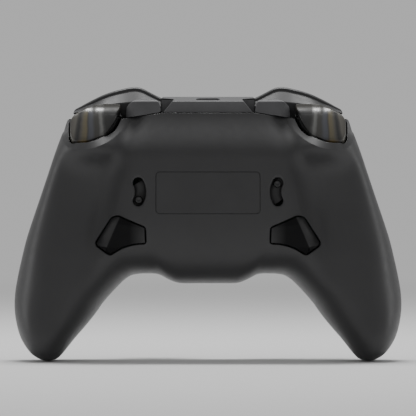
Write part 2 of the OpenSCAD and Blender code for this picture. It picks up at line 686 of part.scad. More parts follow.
module switch_blocks() {
    color([0.1, 0.1, 0.1]) union() {
        both_sides() {
            box(-49, -43, 0.2, 5, 33.6, 41.2);
            box(-31, -27.2, -8.2, -1.2, 29, 35.2);
            box(-31, -27.2, -8.2, -6.2, 35.1, 41.3);
            box(-41, -36, -15.8, -1.2, -8, -3);
        }
        cyl_y(dpad_spot[0], dpad_spot[1], 0.2, 6.4, 2.6);
        for (x = [-1, 1]) difference() {
            translate([dpad_spot[0] + x * 2.1 - 0.5, 6.3, dpad_spot[1] - 1.6])
                cube([1, 3.6, 3.2]);
            cyl_x(8.6, dpad_spot[1], dpad_spot[0] - 5, dpad_spot[0] + 5, 0.85);
        }
        box(-3, 3, 0.2, 6.2, 25, 31);
        for (p = small_spots) box(p[0] - 2, p[0] + 2, 0.2, 6.2, p[1] - 2, p[1] + 2);
    }
}

/* Sticks */
module stick_frame(p) {
    y = stick_pivot_y;
    color([0.35, 0.35, 0.36]) translate([p[0], 0, p[1]]) difference() {
        box(-7.5, 7.5, 0.2, 9, -7.5, 7.5);
        box(-6.3, 6.3, 1.4, 10, -6.3, 6.3);
        cyl_x(y, 0, -9, 9, 1.35);
        cyl_z(0, y, -9, 9, 1.35);
    }
}
module stick_yoke(p) {
    y = stick_pivot_y;
    color([0.8, 0.8, 0.8]) translate([p[0], 0, p[1]]) difference() {
        union() {
            box(-5.8, 5.8, y - 1.6, y + 1.6, -3.4, 3.4);
            for (s = [-1, 1]) cyl_x(y, 0, s < 0 ? -7.4 : 5.6, s < 0 ? -5.6 : 7.4, 1.3);
        }
        box(-4.4, 4.4, y - 2, y + 2, -2.1, 2.1);
        cyl_z(0, y, -5, 5, 0.85);
    }
}
module stick_arch(p) {
    y = stick_pivot_y;
    color([0.75, 0.75, 0.78]) translate([p[0], 0, p[1]]) difference() {
        union() {
            for (s = [-1, 1]) {
                cyl_z(0, y, s < 0 ? -7.4 : 4.9, s < 0 ? -4.9 : 7.4, 1.3);
                box(-1.7, 1.7, y - 1.3, y + 5.0, s < 0 ? -6.0 : 5.0, s < 0 ? -5.0 : 6.0);
            }
            box(-3.4, 3.4, y + 4.0, y + 5.0, -6.0, 6.0);
        }
        box(-2.2, 2.2, y + 3, y + 6, -4.6, 4.6);
    }
}
module stick_shaft(p) {
    y = stick_pivot_y;
    color([0.12, 0.12, 0.12]) translate([p[0], 0, p[1]]) union() {
        cyl_y(0, 0, y - 3.0, 18, 1.6);
        cyl_z(0, y, -3.3, 3.3, 0.8);
        cyl_y(0, 0, 17.3, 24.0, 3.6);
        difference() {
            translate([0, y, 0]) sphere(r = dome_r, $fn = 64);
            translate([0, y, 0]) sphere(r = dome_r - 1.2, $fn = 64);
            box(-15, 15, y - 15, y + 3.0, -15, 15);
        }
    }
}
module stick_cap(p) {
    t = cap_top_y;
    r = cap_r;
    color([0.1, 0.1, 0.1]) spin_y([
        [3.7, 19.8], [6.4, 19.8], [8.5, 21.4], [r, 24.2], [r, t - 1.2], [r - 0.8, t],
        [r - 2.2, t], [r - 3.0, t - 0.7], [0, t - 1.6], [0, 24.9], [3.7, 24.9]
    ], p[0], p[1]);
}
module stick_ring(p) {
    color([0.1, 0.1, 0.1]) spin_y([
        [12.15, 10.2], [12.85, 10.2], [12.85, 14.0], [14.2, 14.0], [14.2, 14.4], [13.8, 14.8],
        [11.6, 14.8], [11.2, 14.4], [11.2, 13.8], [12.15, 13.4]
    ], p[0], p[1]);
}

/* Thumb-side buttons */
module dpad_pivot() {
    color([0.7, 0.7, 0.7]) union() {
        cyl_x(8.6, dpad_spot[1], dpad_spot[0] - 2.7, dpad_spot[0] + 2.7, 0.8);
        cyl_z(dpad_spot[0], 8.6, dpad_spot[1] - 4.4, dpad_spot[1] + 4.4, 0.8);
    }
}
module dpad_cap() {
    color([0.09, 0.09, 0.09]) translate([dpad_spot[0], 0, dpad_spot[1]]) difference() {
        union() {
            for (a = [0, 90]) rotate([0, a, 0]) {
                translate([-dpad_l / 2, 10.4, -dpad_w / 2]) cube([dpad_l, 4.6, dpad_w]);
                for (s = [-1, 1]) plate_x([[14.9, -dpad_w / 2], [16.2, -dpad_w / 2 + 0.6],
                    [16.2, dpad_w / 2 - 0.6], [14.9, dpad_w / 2]],
                    s < 0 ? -dpad_l / 2 + 0.5 : 4.2, s < 0 ? -4.2 : dpad_l / 2 - 0.5);
            }
            for (s = [-1, 1]) box(-1.5, 1.5, 7.1, 10.5, s < 0 ? -4.2 : 3.2, s < 0 ? -3.2 : 4.2);
        }
        cyl_z(0, 8.6, -6, 6, 0.85);
    }
}
module face_button(p) {
    r = face_r;
    color([0.09, 0.09, 0.09]) spin_y([
        [0, 6.4], [r + 0.9, 6.4], [r + 0.9, 7.4], [r, 7.4], [r, 15.0], [r - 0.4, 15.7],
        [r - 1.2, 16.0], [0, 16.3]
    ], p[0], p[1]);
}
module small_button(p, top) {
    r = p[2];
    color([0.12, 0.12, 0.12]) spin_y([
        [0, 6.9], [r + 0.7, 6.9], [r + 0.7, 7.8], [r, 7.8], [r, top - 0.4], [r - 0.4, top],
        [0, top]
    ], p[0], p[1]);
}

back_shell();
front_shell();
faceplate();
top_bridge();
label_plate();
stick_ring(stick_spots[1]);  // stick_ring_left
stick_ring(stick_spots[0]);  // stick_ring_right
case_screws();
main_board();
battery_pack();
usb_c_receptacle();
headphone_jack();
button_membrane();
dpad_membrane();
rumble_motor(-1);  // rumble_motor_left
rumble_motor(1);  // rumble_motor_right
switch_blocks();
lever_pins();
stick_frame(stick_spots[1]);  // stick_left_frame
stick_frame(stick_spots[0]);  // stick_right_frame
trigger_pin_solid(-1);  // trigger_pin_left
trigger_pin_solid(1);  // trigger_pin_right
trigger_spring_solid(-1);  // trigger_spring_left
trigger_spring_solid(1);  // trigger_spring_right
trigger_solid(-1);  // trigger_left
trigger_solid(1);  // trigger_right
trigger_core_solid(-1);  // trigger_core_left
trigger_core_solid(1);  // trigger_core_right
trigger_strip_solid(-1);  // trigger_strip_left
trigger_strip_solid(1);  // trigger_strip_right
bumper_solid(-1);  // bumper_left
bumper_solid(1);  // bumper_right
macro_solid(-1);  // macro_left
macro_solid(1);  // macro_right
paddle_solid(-1);  // paddle_left
paddle_solid(1);  // paddle_right
stop_lever_solid(-1, -25);  // stop_lever_left
stop_lever_solid(1, 25);  // stop_lever_right
stick_yoke(stick_spots[1]);  // stick_left_yoke
stick_arch(stick_spots[1]);  // stick_left_arch
stick_shaft(stick_spots[1]);  // stick_left_shaft
stick_cap(stick_spots[1]);  // stick_left_cap
stick_yoke(stick_spots[0]);  // stick_right_yoke
stick_arch(stick_spots[0]);  // stick_right_arch
stick_shaft(stick_spots[0]);  // stick_right_shaft
stick_cap(stick_spots[0]);  // stick_right_cap
dpad_pivot();
dpad_cap();
face_button(face_spots[0]);  // button_north
face_button(face_spots[1]);  // button_east
face_button(face_spots[2]);  // button_south
face_button(face_spots[3]);  // button_west
small_button(home_spot, 14.0);  // home_button
small_button(small_spots[1], 14.3);  // menu_button
small_button(small_spots[0], 14.3);  // view_button
small_button(small_spots[2], 14.3);  // capture_button
motor_weight(-1);  // motor_weight_left
motor_weight(1);  // motor_weight_right
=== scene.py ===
"""Visual model of the handheld radio controller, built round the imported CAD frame.

Lengths in the shape code are millimetres in the CAD frame; make() turns them into metres.
X runs across the pad, Y from the back (-) to the thumb side (+), Z up to the triggers.
"""

import json
import math
from functools import partial

import bmesh
import bpy
import numpy as np
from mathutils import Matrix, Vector


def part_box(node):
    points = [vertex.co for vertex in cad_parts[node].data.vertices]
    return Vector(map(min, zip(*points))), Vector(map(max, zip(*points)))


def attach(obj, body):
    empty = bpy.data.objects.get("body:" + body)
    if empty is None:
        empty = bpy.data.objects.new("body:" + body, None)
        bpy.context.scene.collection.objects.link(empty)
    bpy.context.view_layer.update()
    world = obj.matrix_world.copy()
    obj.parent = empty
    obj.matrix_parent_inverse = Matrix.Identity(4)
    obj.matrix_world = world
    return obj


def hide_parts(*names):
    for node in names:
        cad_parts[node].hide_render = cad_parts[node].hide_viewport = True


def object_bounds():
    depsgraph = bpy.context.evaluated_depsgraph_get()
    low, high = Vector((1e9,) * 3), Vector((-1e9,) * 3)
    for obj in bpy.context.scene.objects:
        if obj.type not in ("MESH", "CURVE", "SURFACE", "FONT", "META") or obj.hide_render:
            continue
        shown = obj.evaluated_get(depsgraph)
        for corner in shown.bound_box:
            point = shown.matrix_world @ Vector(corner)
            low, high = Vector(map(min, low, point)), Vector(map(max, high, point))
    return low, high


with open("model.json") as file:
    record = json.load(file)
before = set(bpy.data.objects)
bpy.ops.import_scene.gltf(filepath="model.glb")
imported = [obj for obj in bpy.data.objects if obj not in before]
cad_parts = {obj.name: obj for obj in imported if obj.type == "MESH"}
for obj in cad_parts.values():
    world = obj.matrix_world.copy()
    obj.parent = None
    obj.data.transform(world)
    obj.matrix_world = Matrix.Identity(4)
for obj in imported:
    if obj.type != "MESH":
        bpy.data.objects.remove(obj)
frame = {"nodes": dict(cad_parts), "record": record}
cad_low, cad_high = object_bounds()
MM = 0.001
SIDES = ((-1, "left"), (1, "right"))


# ---------------------------------------------------------------- mesh helpers


def make(name, points, faces):
    """A mesh object from points in mm, with its faces turned outwards."""
    mesh = bpy.data.meshes.new(name)
    mesh.from_pydata([tuple(p) for p in np.asarray(points, float) * MM], [], [list(f) for f in faces])
    work = bmesh.new()
    work.from_mesh(mesh)
    bmesh.ops.remove_doubles(work, verts=work.verts, dist=1e-8)
    bmesh.ops.recalc_face_normals(work, faces=work.faces)
    if work.calc_volume(signed=True) < 0:
        bmesh.ops.reverse_faces(work, faces=work.faces)
    work.to_mesh(mesh)
    work.free()
    ob = bpy.data.objects.new(name, mesh)
    bpy.context.scene.collection.objects.link(ob)
    return ob


def ring_faces(count, n):
    """Faces between count rings of n points each."""
    return [(k * n + i, k * n + (i + 1) % n, (k + 1) * n + (i + 1) % n, (k + 1) * n + i)
            for k in range(count - 1) for i in range(n)]


def loft(name, rows):
    """A closed solid through rings of equally many points, with flat ends."""
    n, last = len(rows[0]), len(rows) - 1
    ends = [list(range(n)), list(range(last * n, last * n + n))]
    return make(name, np.concatenate(rows), ring_faces(len(rows), n) + ends)


def discard(ob):
    mesh = ob.data
    bpy.data.objects.remove(ob)
    bpy.data.meshes.remove(mesh)


def bake(ob):
    """Applies the object's modifiers."""
    graph = bpy.context.evaluated_depsgraph_get()
    mesh = bpy.data.meshes.new_from_object(ob.evaluated_get(graph))
    ob.modifiers.clear()
    old, ob.data = ob.data, mesh
    bpy.data.meshes.remove(old)
    return ob


def combine(ob, other, operation):
    """Cuts, joins or intersects with the other solid, which is used up."""
    m = ob.modifiers.new("combine", "BOOLEAN")
    m.operation, m.object, m.solver = operation, other, "MANIFOLD"
    before = len(ob.data.polygons)
    bake(ob)
    if len(ob.data.polygons) == before:
        print("unchanged by", operation, ob.name, other.name)
    discard(other)
    return ob


def cut(ob, *others):
    for other in others:
        combine(ob, other, "DIFFERENCE")
    return ob


def common(ob, *others):
    for other in others:
        combine(ob, other, "INTERSECT")
    return ob


def join(ob, *others):
    for other in others:
        combine(ob, other, "UNION")
    return ob


def soften(ob, voxel, passes):
    """Rounds every edge a little, as moulding does."""
    m = ob.modifiers.new("remesh", "REMESH")
    m.mode, m.voxel_size = "VOXEL", voxel * MM
    m = ob.modifiers.new("smooth", "SMOOTH")
    m.factor, m.iterations = 0.5, passes
    return bake(ob)


def bevel(ob, width, segments=2, angle=25):
    """Rounds the edges that turn by more than the angle, in degrees."""
    m = ob.modifiers.new("bevel", "BEVEL")
    m.width, m.segments, m.limit_method = width * MM, segments, "ANGLE"
    m.angle_limit = math.radians(angle)
    return bake(ob)


def flip_x(ob):
    """Mirrors the object itself across the middle of the pad."""
    for v in ob.data.vertices:
        v.co.x = -v.co.x
    ob.data.flip_normals()
    return ob


def handed(ob, side, name):
    """The left-hand object itself, or a mirrored copy of it for the right-hand side."""
    if side < 0:
        return ob
    mesh = ob.data.copy()
    mesh.name = name
    copy = bpy.data.objects.new(name, mesh)
    bpy.context.scene.collection.objects.link(copy)
    return flip_x(copy)


def prism(points, axis, a, b, name="prism"):
    """A closed prism: points are (x, z) along Y, (y, z) along X, or (x, y) along Z."""
    points = [tuple(p) for p in points]
    n = len(points)

    def place(p, d):
        return {"y": (p[0], d, p[1]), "x": (d, p[0], p[1]), "z": (p[0], p[1], d)}[axis]

    verts = [place(p, a) for p in points] + [place(p, b) for p in points]
    sides = [(i, (i + 1) % n, n + (i + 1) % n, n + i) for i in range(n)]
    return make(name, verts, [list(range(n)), list(range(n, 2 * n))] + sides)


def box_solid(x0, x1, y0, y1, z0, z1):
    return prism([(x0, z0), (x1, z0), (x1, z1), (x0, z1)], "y", y0, y1, "box")


def lathe(profile, axis, centre, steps=96, name="lathe", ripple=None):
    """A closed solid of revolution.

    profile is (radius, along) pairs, closed onto the axis where radius is 0. ripple(radius, along, angle)
    gives a share of the radius to add.
    """
    verts, rows = [], []
    for r, d in profile:
        if r < 1e-6:
            rows.append([len(verts)] * steps)
            verts.append((0.0, 0.0, d))
            continue
        rows.append(list(range(len(verts), len(verts) + steps)))
        for k in range(steps):
            a = 2 * math.pi * k / steps
            rr = r * (1 + ripple(r, d, a)) if ripple else r
            verts.append((rr * math.cos(a), rr * math.sin(a), d))
    closed = profile[0][0] > 1e-6
    faces = []
    for i in range(len(rows) if closed else len(rows) - 1):
        p, q = rows[i], rows[(i + 1) % len(rows)]
        for k in range(steps):
            m = (k + 1) % steps
            face = [p[k], p[m], q[m], q[k]]
            face = [v for j, v in enumerate(face) if v != face[j - 1]]
            if len(face) > 2:
                faces.append(face)
    v = np.array(verts)
    c = np.array(centre, float)
    if axis == "y":
        v = np.stack([v[:, 0], v[:, 2], v[:, 1]], 1)
    elif axis == "x":
        v = np.stack([v[:, 2], v[:, 0], v[:, 1]], 1)
    return make(name, v + c, faces)


def rod(radius, start, stop, axis, centre, steps=48):
    return lathe([(0, start), (radius, start), (radius, stop), (0, stop)], axis, centre, steps, "rod")


def arc(x, z, r, start, stop, n):
    """n points along an arc about (x, z), with its angles in degrees."""
    return [(x + r * math.cos(a), z + r * math.sin(a)) for a in np.radians(np.linspace(start, stop, n))]


def smooth_line(points, per, closed=False):
    """Catmull-Rom curve through the points, with per steps from each to the next."""
    p = np.array(points, float)
    n = len(p)
    out = []
    for i in range(n if closed else n - 1):
        if closed:
            a, b, c, d = p[i - 1], p[i], p[(i + 1) % n], p[(i + 2) % n]
        else:
            b, c = p[i], p[i + 1]
            a = p[i - 1] if i else 2 * b - c
            d = p[i + 2] if i + 2 < n else 2 * c - b
        for k in range(per):
            f = k / per
            out.append(0.5 * (2 * b + (c - a) * f + (2 * a - 5 * b + 4 * c - d) * f * f
                              + (3 * b - a - 3 * c + d) * f ** 3))
    if not closed:
        out.append(p[-1])
    return np.array(out)


def rounded(points, radius, steps):
    """A polygon with its corners rounded by curves that touch both sides."""
    p = [np.array(q, float) for q in points]
    out = []
    for i, b in enumerate(p):
        a, c = p[i - 1], p[(i + 1) % len(p)]
        u, v = a - b, c - b
        la, lc = np.linalg.norm(u), np.linalg.norm(v)
        u, v = u / la, v / lc
        r = min(radius, 0.45 * la, 0.45 * lc)
        for k in range(steps + 1):
            f = k / steps
            s, e = b + u * r, b + v * r
            out.append((1 - f) ** 2 * s + 2 * f * (1 - f) * b + f * f * e)
    return np.array(out)


def denser(points, step):
    """The closed outline with extra points so that no side is longer than step."""
    out = []
    p = np.array(points, float)
    for a, b in zip(p, np.roll(p, -1, axis=0)):
        n = max(1, int(math.ceil(np.linalg.norm(b - a) / step)))
        out += [a + (b - a) * k / n for k in range(n)]
    return np.array(out)


def outset(points, g):
    """The closed outline moved outwards by g."""
    p = np.array(points, float)
    x, y = p[:, 0], p[:, 1]
    turn = np.sign(np.sum(x * np.roll(y, -1) - np.roll(x, -1) * y))
    d = np.roll(p, -1, axis=0) - np.roll(p, 1, axis=0)
    d /= np.maximum(np.linalg.norm(d, axis=1, keepdims=True), 1e-9)
    return p + turn * g * np.stack([d[:, 1], -d[:, 0]], 1)


def mirrored(points):
    """The whole outline, from (x, z) points of its left half."""
    return list(points) + [(-x, z) for x, z in reversed(list(points)) if abs(x) > 1e-9]


# ------------------------------------------------------- the body, as in the CAD

WALL, SEAM_GAP, SWEEP = 2.2, 0.16, 11.0
BACK_DEPTH, FRONT_DEPTH = 23.5, 12.5
GRIP_ROUND = 2.35
# Where along the ribs the body and its hollow begin.
BODY_START, HOLLOW_START = 0.04, 3.0
# Each rib runs across the left half from its inner end to its outer end: x, z, x, z.
RIBS = np.array([
    [-63.3, -54.7, -63.3, -54.7], [-60.2, -53.9, -67.0, -53.9], [-58.1, -52.0, -70.7, -51.4],
    [-55.6, -48.9, -74.2, -46.5], [-53.3, -46.0, -76.2, -41.0], [-50.0, -42.2, -77.3, -34.5],
    [-47.0, -38.6, -77.2, -28.0], [-44.5, -35.3, -76.2, -21.5], [-42.2, -32.0, -74.7, -14.5],
    [-39.4, -28.7, -72.7, -6.4], [-36.6, -25.7, -70.0, 2.0], [-33.4, -22.6, -67.2, 10.2],
    [-30.6, -20.9, -63.9, 20.0], [-27.4, -20.3, -61.2, 28.0], [-24.5, -20.2, -58.0, 36.5],
    [-21.8, -20.2, -54.6, 44.0], [-19.3, -20.7, -48.0, 50.0], [-15.8, -22.5, -40.0, 53.0],
    [-12.8, -23.7, -31.0, 55.0], [-10.0, -24.1, -22.0, 56.0], [-5.0, -24.1, -11.0, 56.0],
    [0.0, -24.1, 0.0, 56.0],
])
FLIP = np.array([-1, 1, -1, 1])
LAST = len(RIBS) - 1
ALL_RIBS = np.concatenate([RIBS[:1], RIBS, (RIBS[:-1] * FLIP)[::-1], RIBS[:1] * FLIP])


def ease(a, b, v):
    """0 up to a, 1 from b, and a smooth step between them."""
    f = np.clip((v - a) / (b - a), 0, 1)
    return f * f * (3 - 2 * f)


def bell(v, w):
    return np.exp(-(v / w) ** 2)


def rib(t):
    """Inner and outer end of the rib at t, each an (n, 2) array."""
    t = np.asarray(t, float)
    i = np.clip(np.floor(t).astype(int), 0, 2 * LAST - 1)
    f = (t - i)[:, None]
    a, b, c, d = (ALL_RIBS[i + k] for k in range(4))
    p = 0.5 * (2 * b + (c - a) * f + (2 * a - 5 * b + 4 * c - d) * f ** 2
               + (3 * b - a - 3 * c + d) * f ** 3)
    return p[:, :2], p[:, 2:]


def seam(x, z):
    """Y of the parting line, which sweeps back along the grips."""
    return 1 - SWEEP * np.clip((np.abs(x) - 25) / 40, 0, 1) * np.clip((10 - z) / 62, 0, 1) ** 2


def back_field(x, z):
    """How far the back stands off the parting line, before its edge is rounded off."""
    a = np.abs(x)
    centre = BACK_DEPTH - 7.2 * ease(26, 46, z)
    grip = BACK_DEPTH - 3.0 * ease(-14, 14, z) - 2.5 * (1 - ease(-52, -20, z))
    hollow = 32.6 + (38 - z) * 0.27
    f = ease(28, 46, a)
    return (centre + (grip - centre) * f - 3.4 * bell(a - hollow, 5.4) * ease(-30, 4, z)
            + 7.2 * bell(a - 47.5, 11.5) * bell(z - 30.5, 6.5))


def front_field(x, z):
    """The same for the thumb side."""
    return (FRONT_DEPTH - 1.5 * ease(46, 66, np.abs(x)) - 0.4 * (x / 50) ** 2
            - 0.25 * ((z - 8) / 30) ** 2)


def squareness(t, far):
    """Exponent of the rounding at the rib's far or near end: a higher one is squarer."""
    u = np.minimum(t, 2 * LAST - t)
    square, a, b = (4.6, 6, 13) if far else (3.6, 10, 17)
    return GRIP_ROUND + (square - GRIP_ROUND) * ease(a, b, u)


def tip(t):
    """Closes the body at the ends of the grips."""
    u = np.minimum(t, 2 * LAST - t)
    return np.where(u >= 5, 1.0, np.sqrt(np.maximum(0, 1 - (1 - u / 5) ** 2)))


def round_off(t, s):
    """Share of the full depth at s, which runs from 0 to 1 across the rib."""
    n = np.where(s > 0.5, squareness(t, True), squareness(t, False))
    return np.maximum(0, 1 - np.abs(2 * s - 1) ** n) ** (1 / n)


def body_point(t, s, side, grow, inset):
    """Surface points for arrays t and s; side is -1 for the back and 1 for the thumb side."""
    inner, outer = rib(t)
    d = outer - inner
    k = np.minimum(inset / np.maximum(np.linalg.norm(d, axis=1), 1e-3), 0.45)
    p = inner + d * (k + s * (1 - 2 * k))[:, None]
    f = (back_field if side < 0 else front_field)(p[:, 0], p[:, 1]) + grow
    y = seam(p[:, 0], p[:, 1]) + side * round_off(t, s) * tip(t) * np.maximum(f, 0.2)
    return np.stack([p[:, 0], y, p[:, 1]], 1)


def ring_fractions(t, n, depth):
    """Fractions across the rib at t that are evenly spaced along the surface."""
    inner, outer = rib([t])
    length = float(np.linalg.norm(outer - inner))
    halves = []
    for far in (False, True):
        e = float(squareness(t, far))
        up = np.linspace(0, 0.93, 80)
        x = 0.5 * (1 - (1 - up ** e) ** (1 / e))
        flat = np.linspace(x[-1], 0.5, 80)[1:]
        halves.append((np.concatenate([x, flat]),
                       np.concatenate([up, (1 - np.abs(1 - 2 * flat) ** e) ** (1 / e)])))
    s = np.concatenate([halves[0][0], 1 - halves[1][0][::-1][1:]])
    e = np.concatenate([halves[0][1], halves[1][1][::-1][1:]]) * float(tip(np.array(t))) * depth
    run = np.concatenate([[0], np.cumsum(np.hypot(np.diff(s) * length, np.diff(e)))])
    return np.interp(np.linspace(0, run[-1], n + 1), run, s)


def body_rings(side, grow, inset, n, count, start):
    """Rows of n + 1 surface points along count + 1 ribs, from one grip's end to the other's."""
    rows = []
    for k in range(count + 1):
        t = start + k / count * (2 * LAST - 2 * start)
        s = ring_fractions(t, n, 22.0 if side < 0 else 12.0)
        rows.append(body_point(np.full(n + 1, t), s, side, grow, inset))
    return rows


def half_body(name, side, grow=0.0, n=88, count=330):
    """The solid between the parting line and the back or front surface."""
    rows = body_rings(side, grow, 0.0, n, count, BODY_START)
    verts = np.concatenate(rows) + np.array([0, side * SEAM_GAP / 2, 0])
    w = n + 1
    faces = [(k * w + i, (k + 1) * w + i, (k + 1) * w + i + 1, k * w + i + 1)
             for k in range(count) for i in range(n)]
    faces += [(k * w, k * w + n, (k + 1) * w + n, (k + 1) * w) for k in range(count)]
    faces += [list(range(w)), list(range(count * w, count * w + w))]
    return make(name, verts, faces)


def inner_body(name):
    """The hollow inside both shells."""
    n, count = 24, 90
    back = body_rings(-1, -WALL, WALL, n, count, HOLLOW_START)
    front = body_rings(1, -WALL, WALL, n, count, HOLLOW_START)
    return loft(name, [np.concatenate([b, f[::-1][1:-1]]) for b, f in zip(back, front)])


TABLE_T = np.linspace(0.3, 2 * LAST - 0.3, 1600)
TABLE_IN, TABLE_OUT = rib(TABLE_T)


def surface_y(points, side):
    """Y of the body's surface at (x, z) points."""
    out = []
    d = TABLE_OUT - TABLE_IN
    for x, z in points:
        q = np.array([x, z]) - TABLE_IN
        cross = d[:, 0] * q[:, 1] - d[:, 1] * q[:, 0]
        s = (q * d).sum(1) / (d * d).sum(1)
        hit = np.where((cross[:-1] * cross[1:] <= 0) & (s[:-1] > -0.02) & (s[:-1] < 1.02))[0]
        i = int(hit[0]) if len(hit) else int(np.argmin(np.abs(cross)))
        f = cross[i] / (cross[i] - cross[i + 1]) if cross[i] != cross[i + 1] else 0.0
        t = TABLE_T[i] + f * (TABLE_T[i + 1] - TABLE_T[i])
        a, b = rib([t])
        along = b[0] - a[0]
        share = float(np.clip(((np.array([x, z]) - a[0]) @ along) / (along @ along), 0, 1))
        out.append(body_point(np.array([t]), np.array([share]), side, 0.0, 0.0)[0, 1])
    return np.array(out)


def level_ring(outline, y):
    return np.stack([outline[:, 0], np.full(len(outline), y), outline[:, 1]], 1)


def surface_cutter(outline, side, floor_y, r):
    """Cuts an opening down to floor_y through the body's surface, and rounds its rim by r."""
    steps = [(0.0, -1.2 * r)]
    steps += [(r * (1 - math.cos(a)), -r * (1 - math.sin(a))) for a in np.radians([0, 25, 50, 75])]
    steps += [(r * 1.25, 0.12), (r * 1.6, 1.6)]
    rows = [level_ring(outline, floor_y)]
    for g, h in steps:
        p = outset(outline, g)
        y = surface_y(p, side) + side * h
        rows.append(np.stack([p[:, 0], y, p[:, 1]], 1))
    return loft("cutter", rows)


# ------------------------------------------------------------------- materials


def nodes_of(name, colour, rough, **sockets):
    """A Principled material; the values given are set straight on its sockets."""
    mat = bpy.data.materials.new(name)
    mat.use_nodes = True
    tree = mat.node_tree
    shader = tree.nodes["Principled BSDF"]
    shader.inputs["Base Color"].default_value = (*colour, 1)
    shader.inputs["Roughness"].default_value = rough
    for key, value in sockets.items():
        shader.inputs[key.replace("_", " ")].default_value = value
    return mat, tree, shader


def add(tree, kind, **values):
    node = tree.nodes.new(kind)
    for key, value in values.items():
        if key in node.inputs:
            node.inputs[key].default_value = value
        else:
            setattr(node, key, value)
    return node


def feed(tree, socket, value):
    """Gives a socket another node's output, a number or a colour."""
    if isinstance(value, bpy.types.NodeSocket):
        tree.links.new(value, socket)
    else:
        socket.default_value = value if isinstance(value, (int, float)) else (*value, 1)


def maths(tree, operation, *values):
    node = add(tree, "ShaderNodeMath", operation=operation)
    for socket, value in zip(node.inputs, values):
        feed(tree, socket, value)
    return node.outputs["Value"]


def ranged(tree, source, low, high, a=0.3, b=0.7):
    """Maps a value from a..b onto low..high."""
    node = add(tree, "ShaderNodeMapRange")
    tree.links.new(source, node.inputs["Value"])
    for key, value in (("From Min", a), ("From Max", b), ("To Min", low), ("To Max", high)):
        node.inputs[key].default_value = value
    return node.outputs["Result"]


def mix(tree, factor, a, b, blend_type="MIX"):
    node = add(tree, "ShaderNodeMix", data_type="RGBA", blend_type=blend_type)
    for key, value in (("Factor", factor), ("A", a), ("B", b)):
        feed(tree, node.inputs[key], value)
    return node.outputs["Result"]


def noise(tree, place, scale, detail, **values):
    node = add(tree, "ShaderNodeTexNoise", Scale=scale, Detail=detail, **values)
    tree.links.new(place, node.inputs["Vector"])
    return node.outputs["Fac"]


def relief(tree, shader, height, strength, depth, normal=None):
    """Bumps on the surface, depth in mm, on top of a normal if one is given."""
    node = add(tree, "ShaderNodeBump", Strength=strength, Distance=depth * MM)
    tree.links.new(height, node.inputs["Height"])
    if normal:
        tree.links.new(normal, node.inputs["Normal"])
    tree.links.new(node.outputs["Normal"], shader.inputs["Normal"])


def plastic(name, colour, rough, grain=0.35, size=0.22, depth=0.02, spread=0.08, edge=0.35, mottle=0.1,
            rim=0.18, **sockets):
    """Moulded plastic: fine grain, uneven gloss, slight mottling, and edges polished by handling.

    size and depth are the grain's width and height in mm, rim the width of the worn edge in mm.
    """
    mat, tree, shader = nodes_of(name, colour, rough, **sockets)
    link = tree.links.new
    place = add(tree, "ShaderNodeTexCoord").outputs["Object"]
    fine = noise(tree, place, 1000 / size, 3.0, Roughness=0.6)
    broad = noise(tree, place, 90.0, 4.0, Roughness=0.55)
    cloud = noise(tree, place, 420.0, 2.0, Roughness=0.5)
    # Worn edges: where a rounded normal leaves the true one.
    soft = add(tree, "ShaderNodeBevel", Radius=rim * MM)
    soft.samples = 4
    dot = add(tree, "ShaderNodeVectorMath", operation="DOT_PRODUCT")
    link(soft.outputs["Normal"], dot.inputs[0])
    link(add(tree, "ShaderNodeNewGeometry").outputs["Normal"], dot.inputs[1])
    worn = ranged(tree, dot.outputs["Value"], edge, 0.0, 0.80, 0.995)
    tone = ranged(tree, broad, 1 - mottle, 1 + mottle)
    grey = add(tree, "ShaderNodeCombineColor")
    for key in ("Red", "Green", "Blue"):
        link(tone, grey.inputs[key])
    base = mix(tree, 1.0, colour, grey.outputs["Color"], "MULTIPLY")
    rubbed = [min(1.0, c * 2.2 + 0.02) for c in colour]
    link(mix(tree, worn, base, rubbed), shader.inputs["Base Color"])
    gloss = ranged(tree, cloud, rough - spread, rough + spread)
    link(maths(tree, "MULTIPLY_ADD", worn, -0.25, gloss), shader.inputs["Roughness"])
    relief(tree, shader, fine, grain, depth, soft.outputs["Normal"])
    return mat


def metal(name, colour, rough):
    """Brushed or turned metal with fine lines and a little tarnish."""
    mat, tree, shader = nodes_of(name, colour, rough, Metallic=1.0)
    place = add(tree, "ShaderNodeTexCoord").outputs["Object"]
    scale = add(tree, "ShaderNodeMapping")
    scale.inputs["Scale"].default_value = (1, 1, 12)
    tree.links.new(place, scale.inputs["Vector"])
    lines = noise(tree, scale.outputs["Vector"], 900.0, 4.0)
    stain = ranged(tree, noise(tree, place, 260.0, 3.0), 0.0, 0.7, 0.45, 0.75)
    tarnish = [c * 0.62 for c in colour]
    tree.links.new(mix(tree, stain, colour, tarnish), shader.inputs["Base Color"])
    tree.links.new(ranged(tree, lines, rough * 0.7, rough * 1.4), shader.inputs["Roughness"])
    relief(tree, shader, lines, 0.25, 0.01)
    return mat


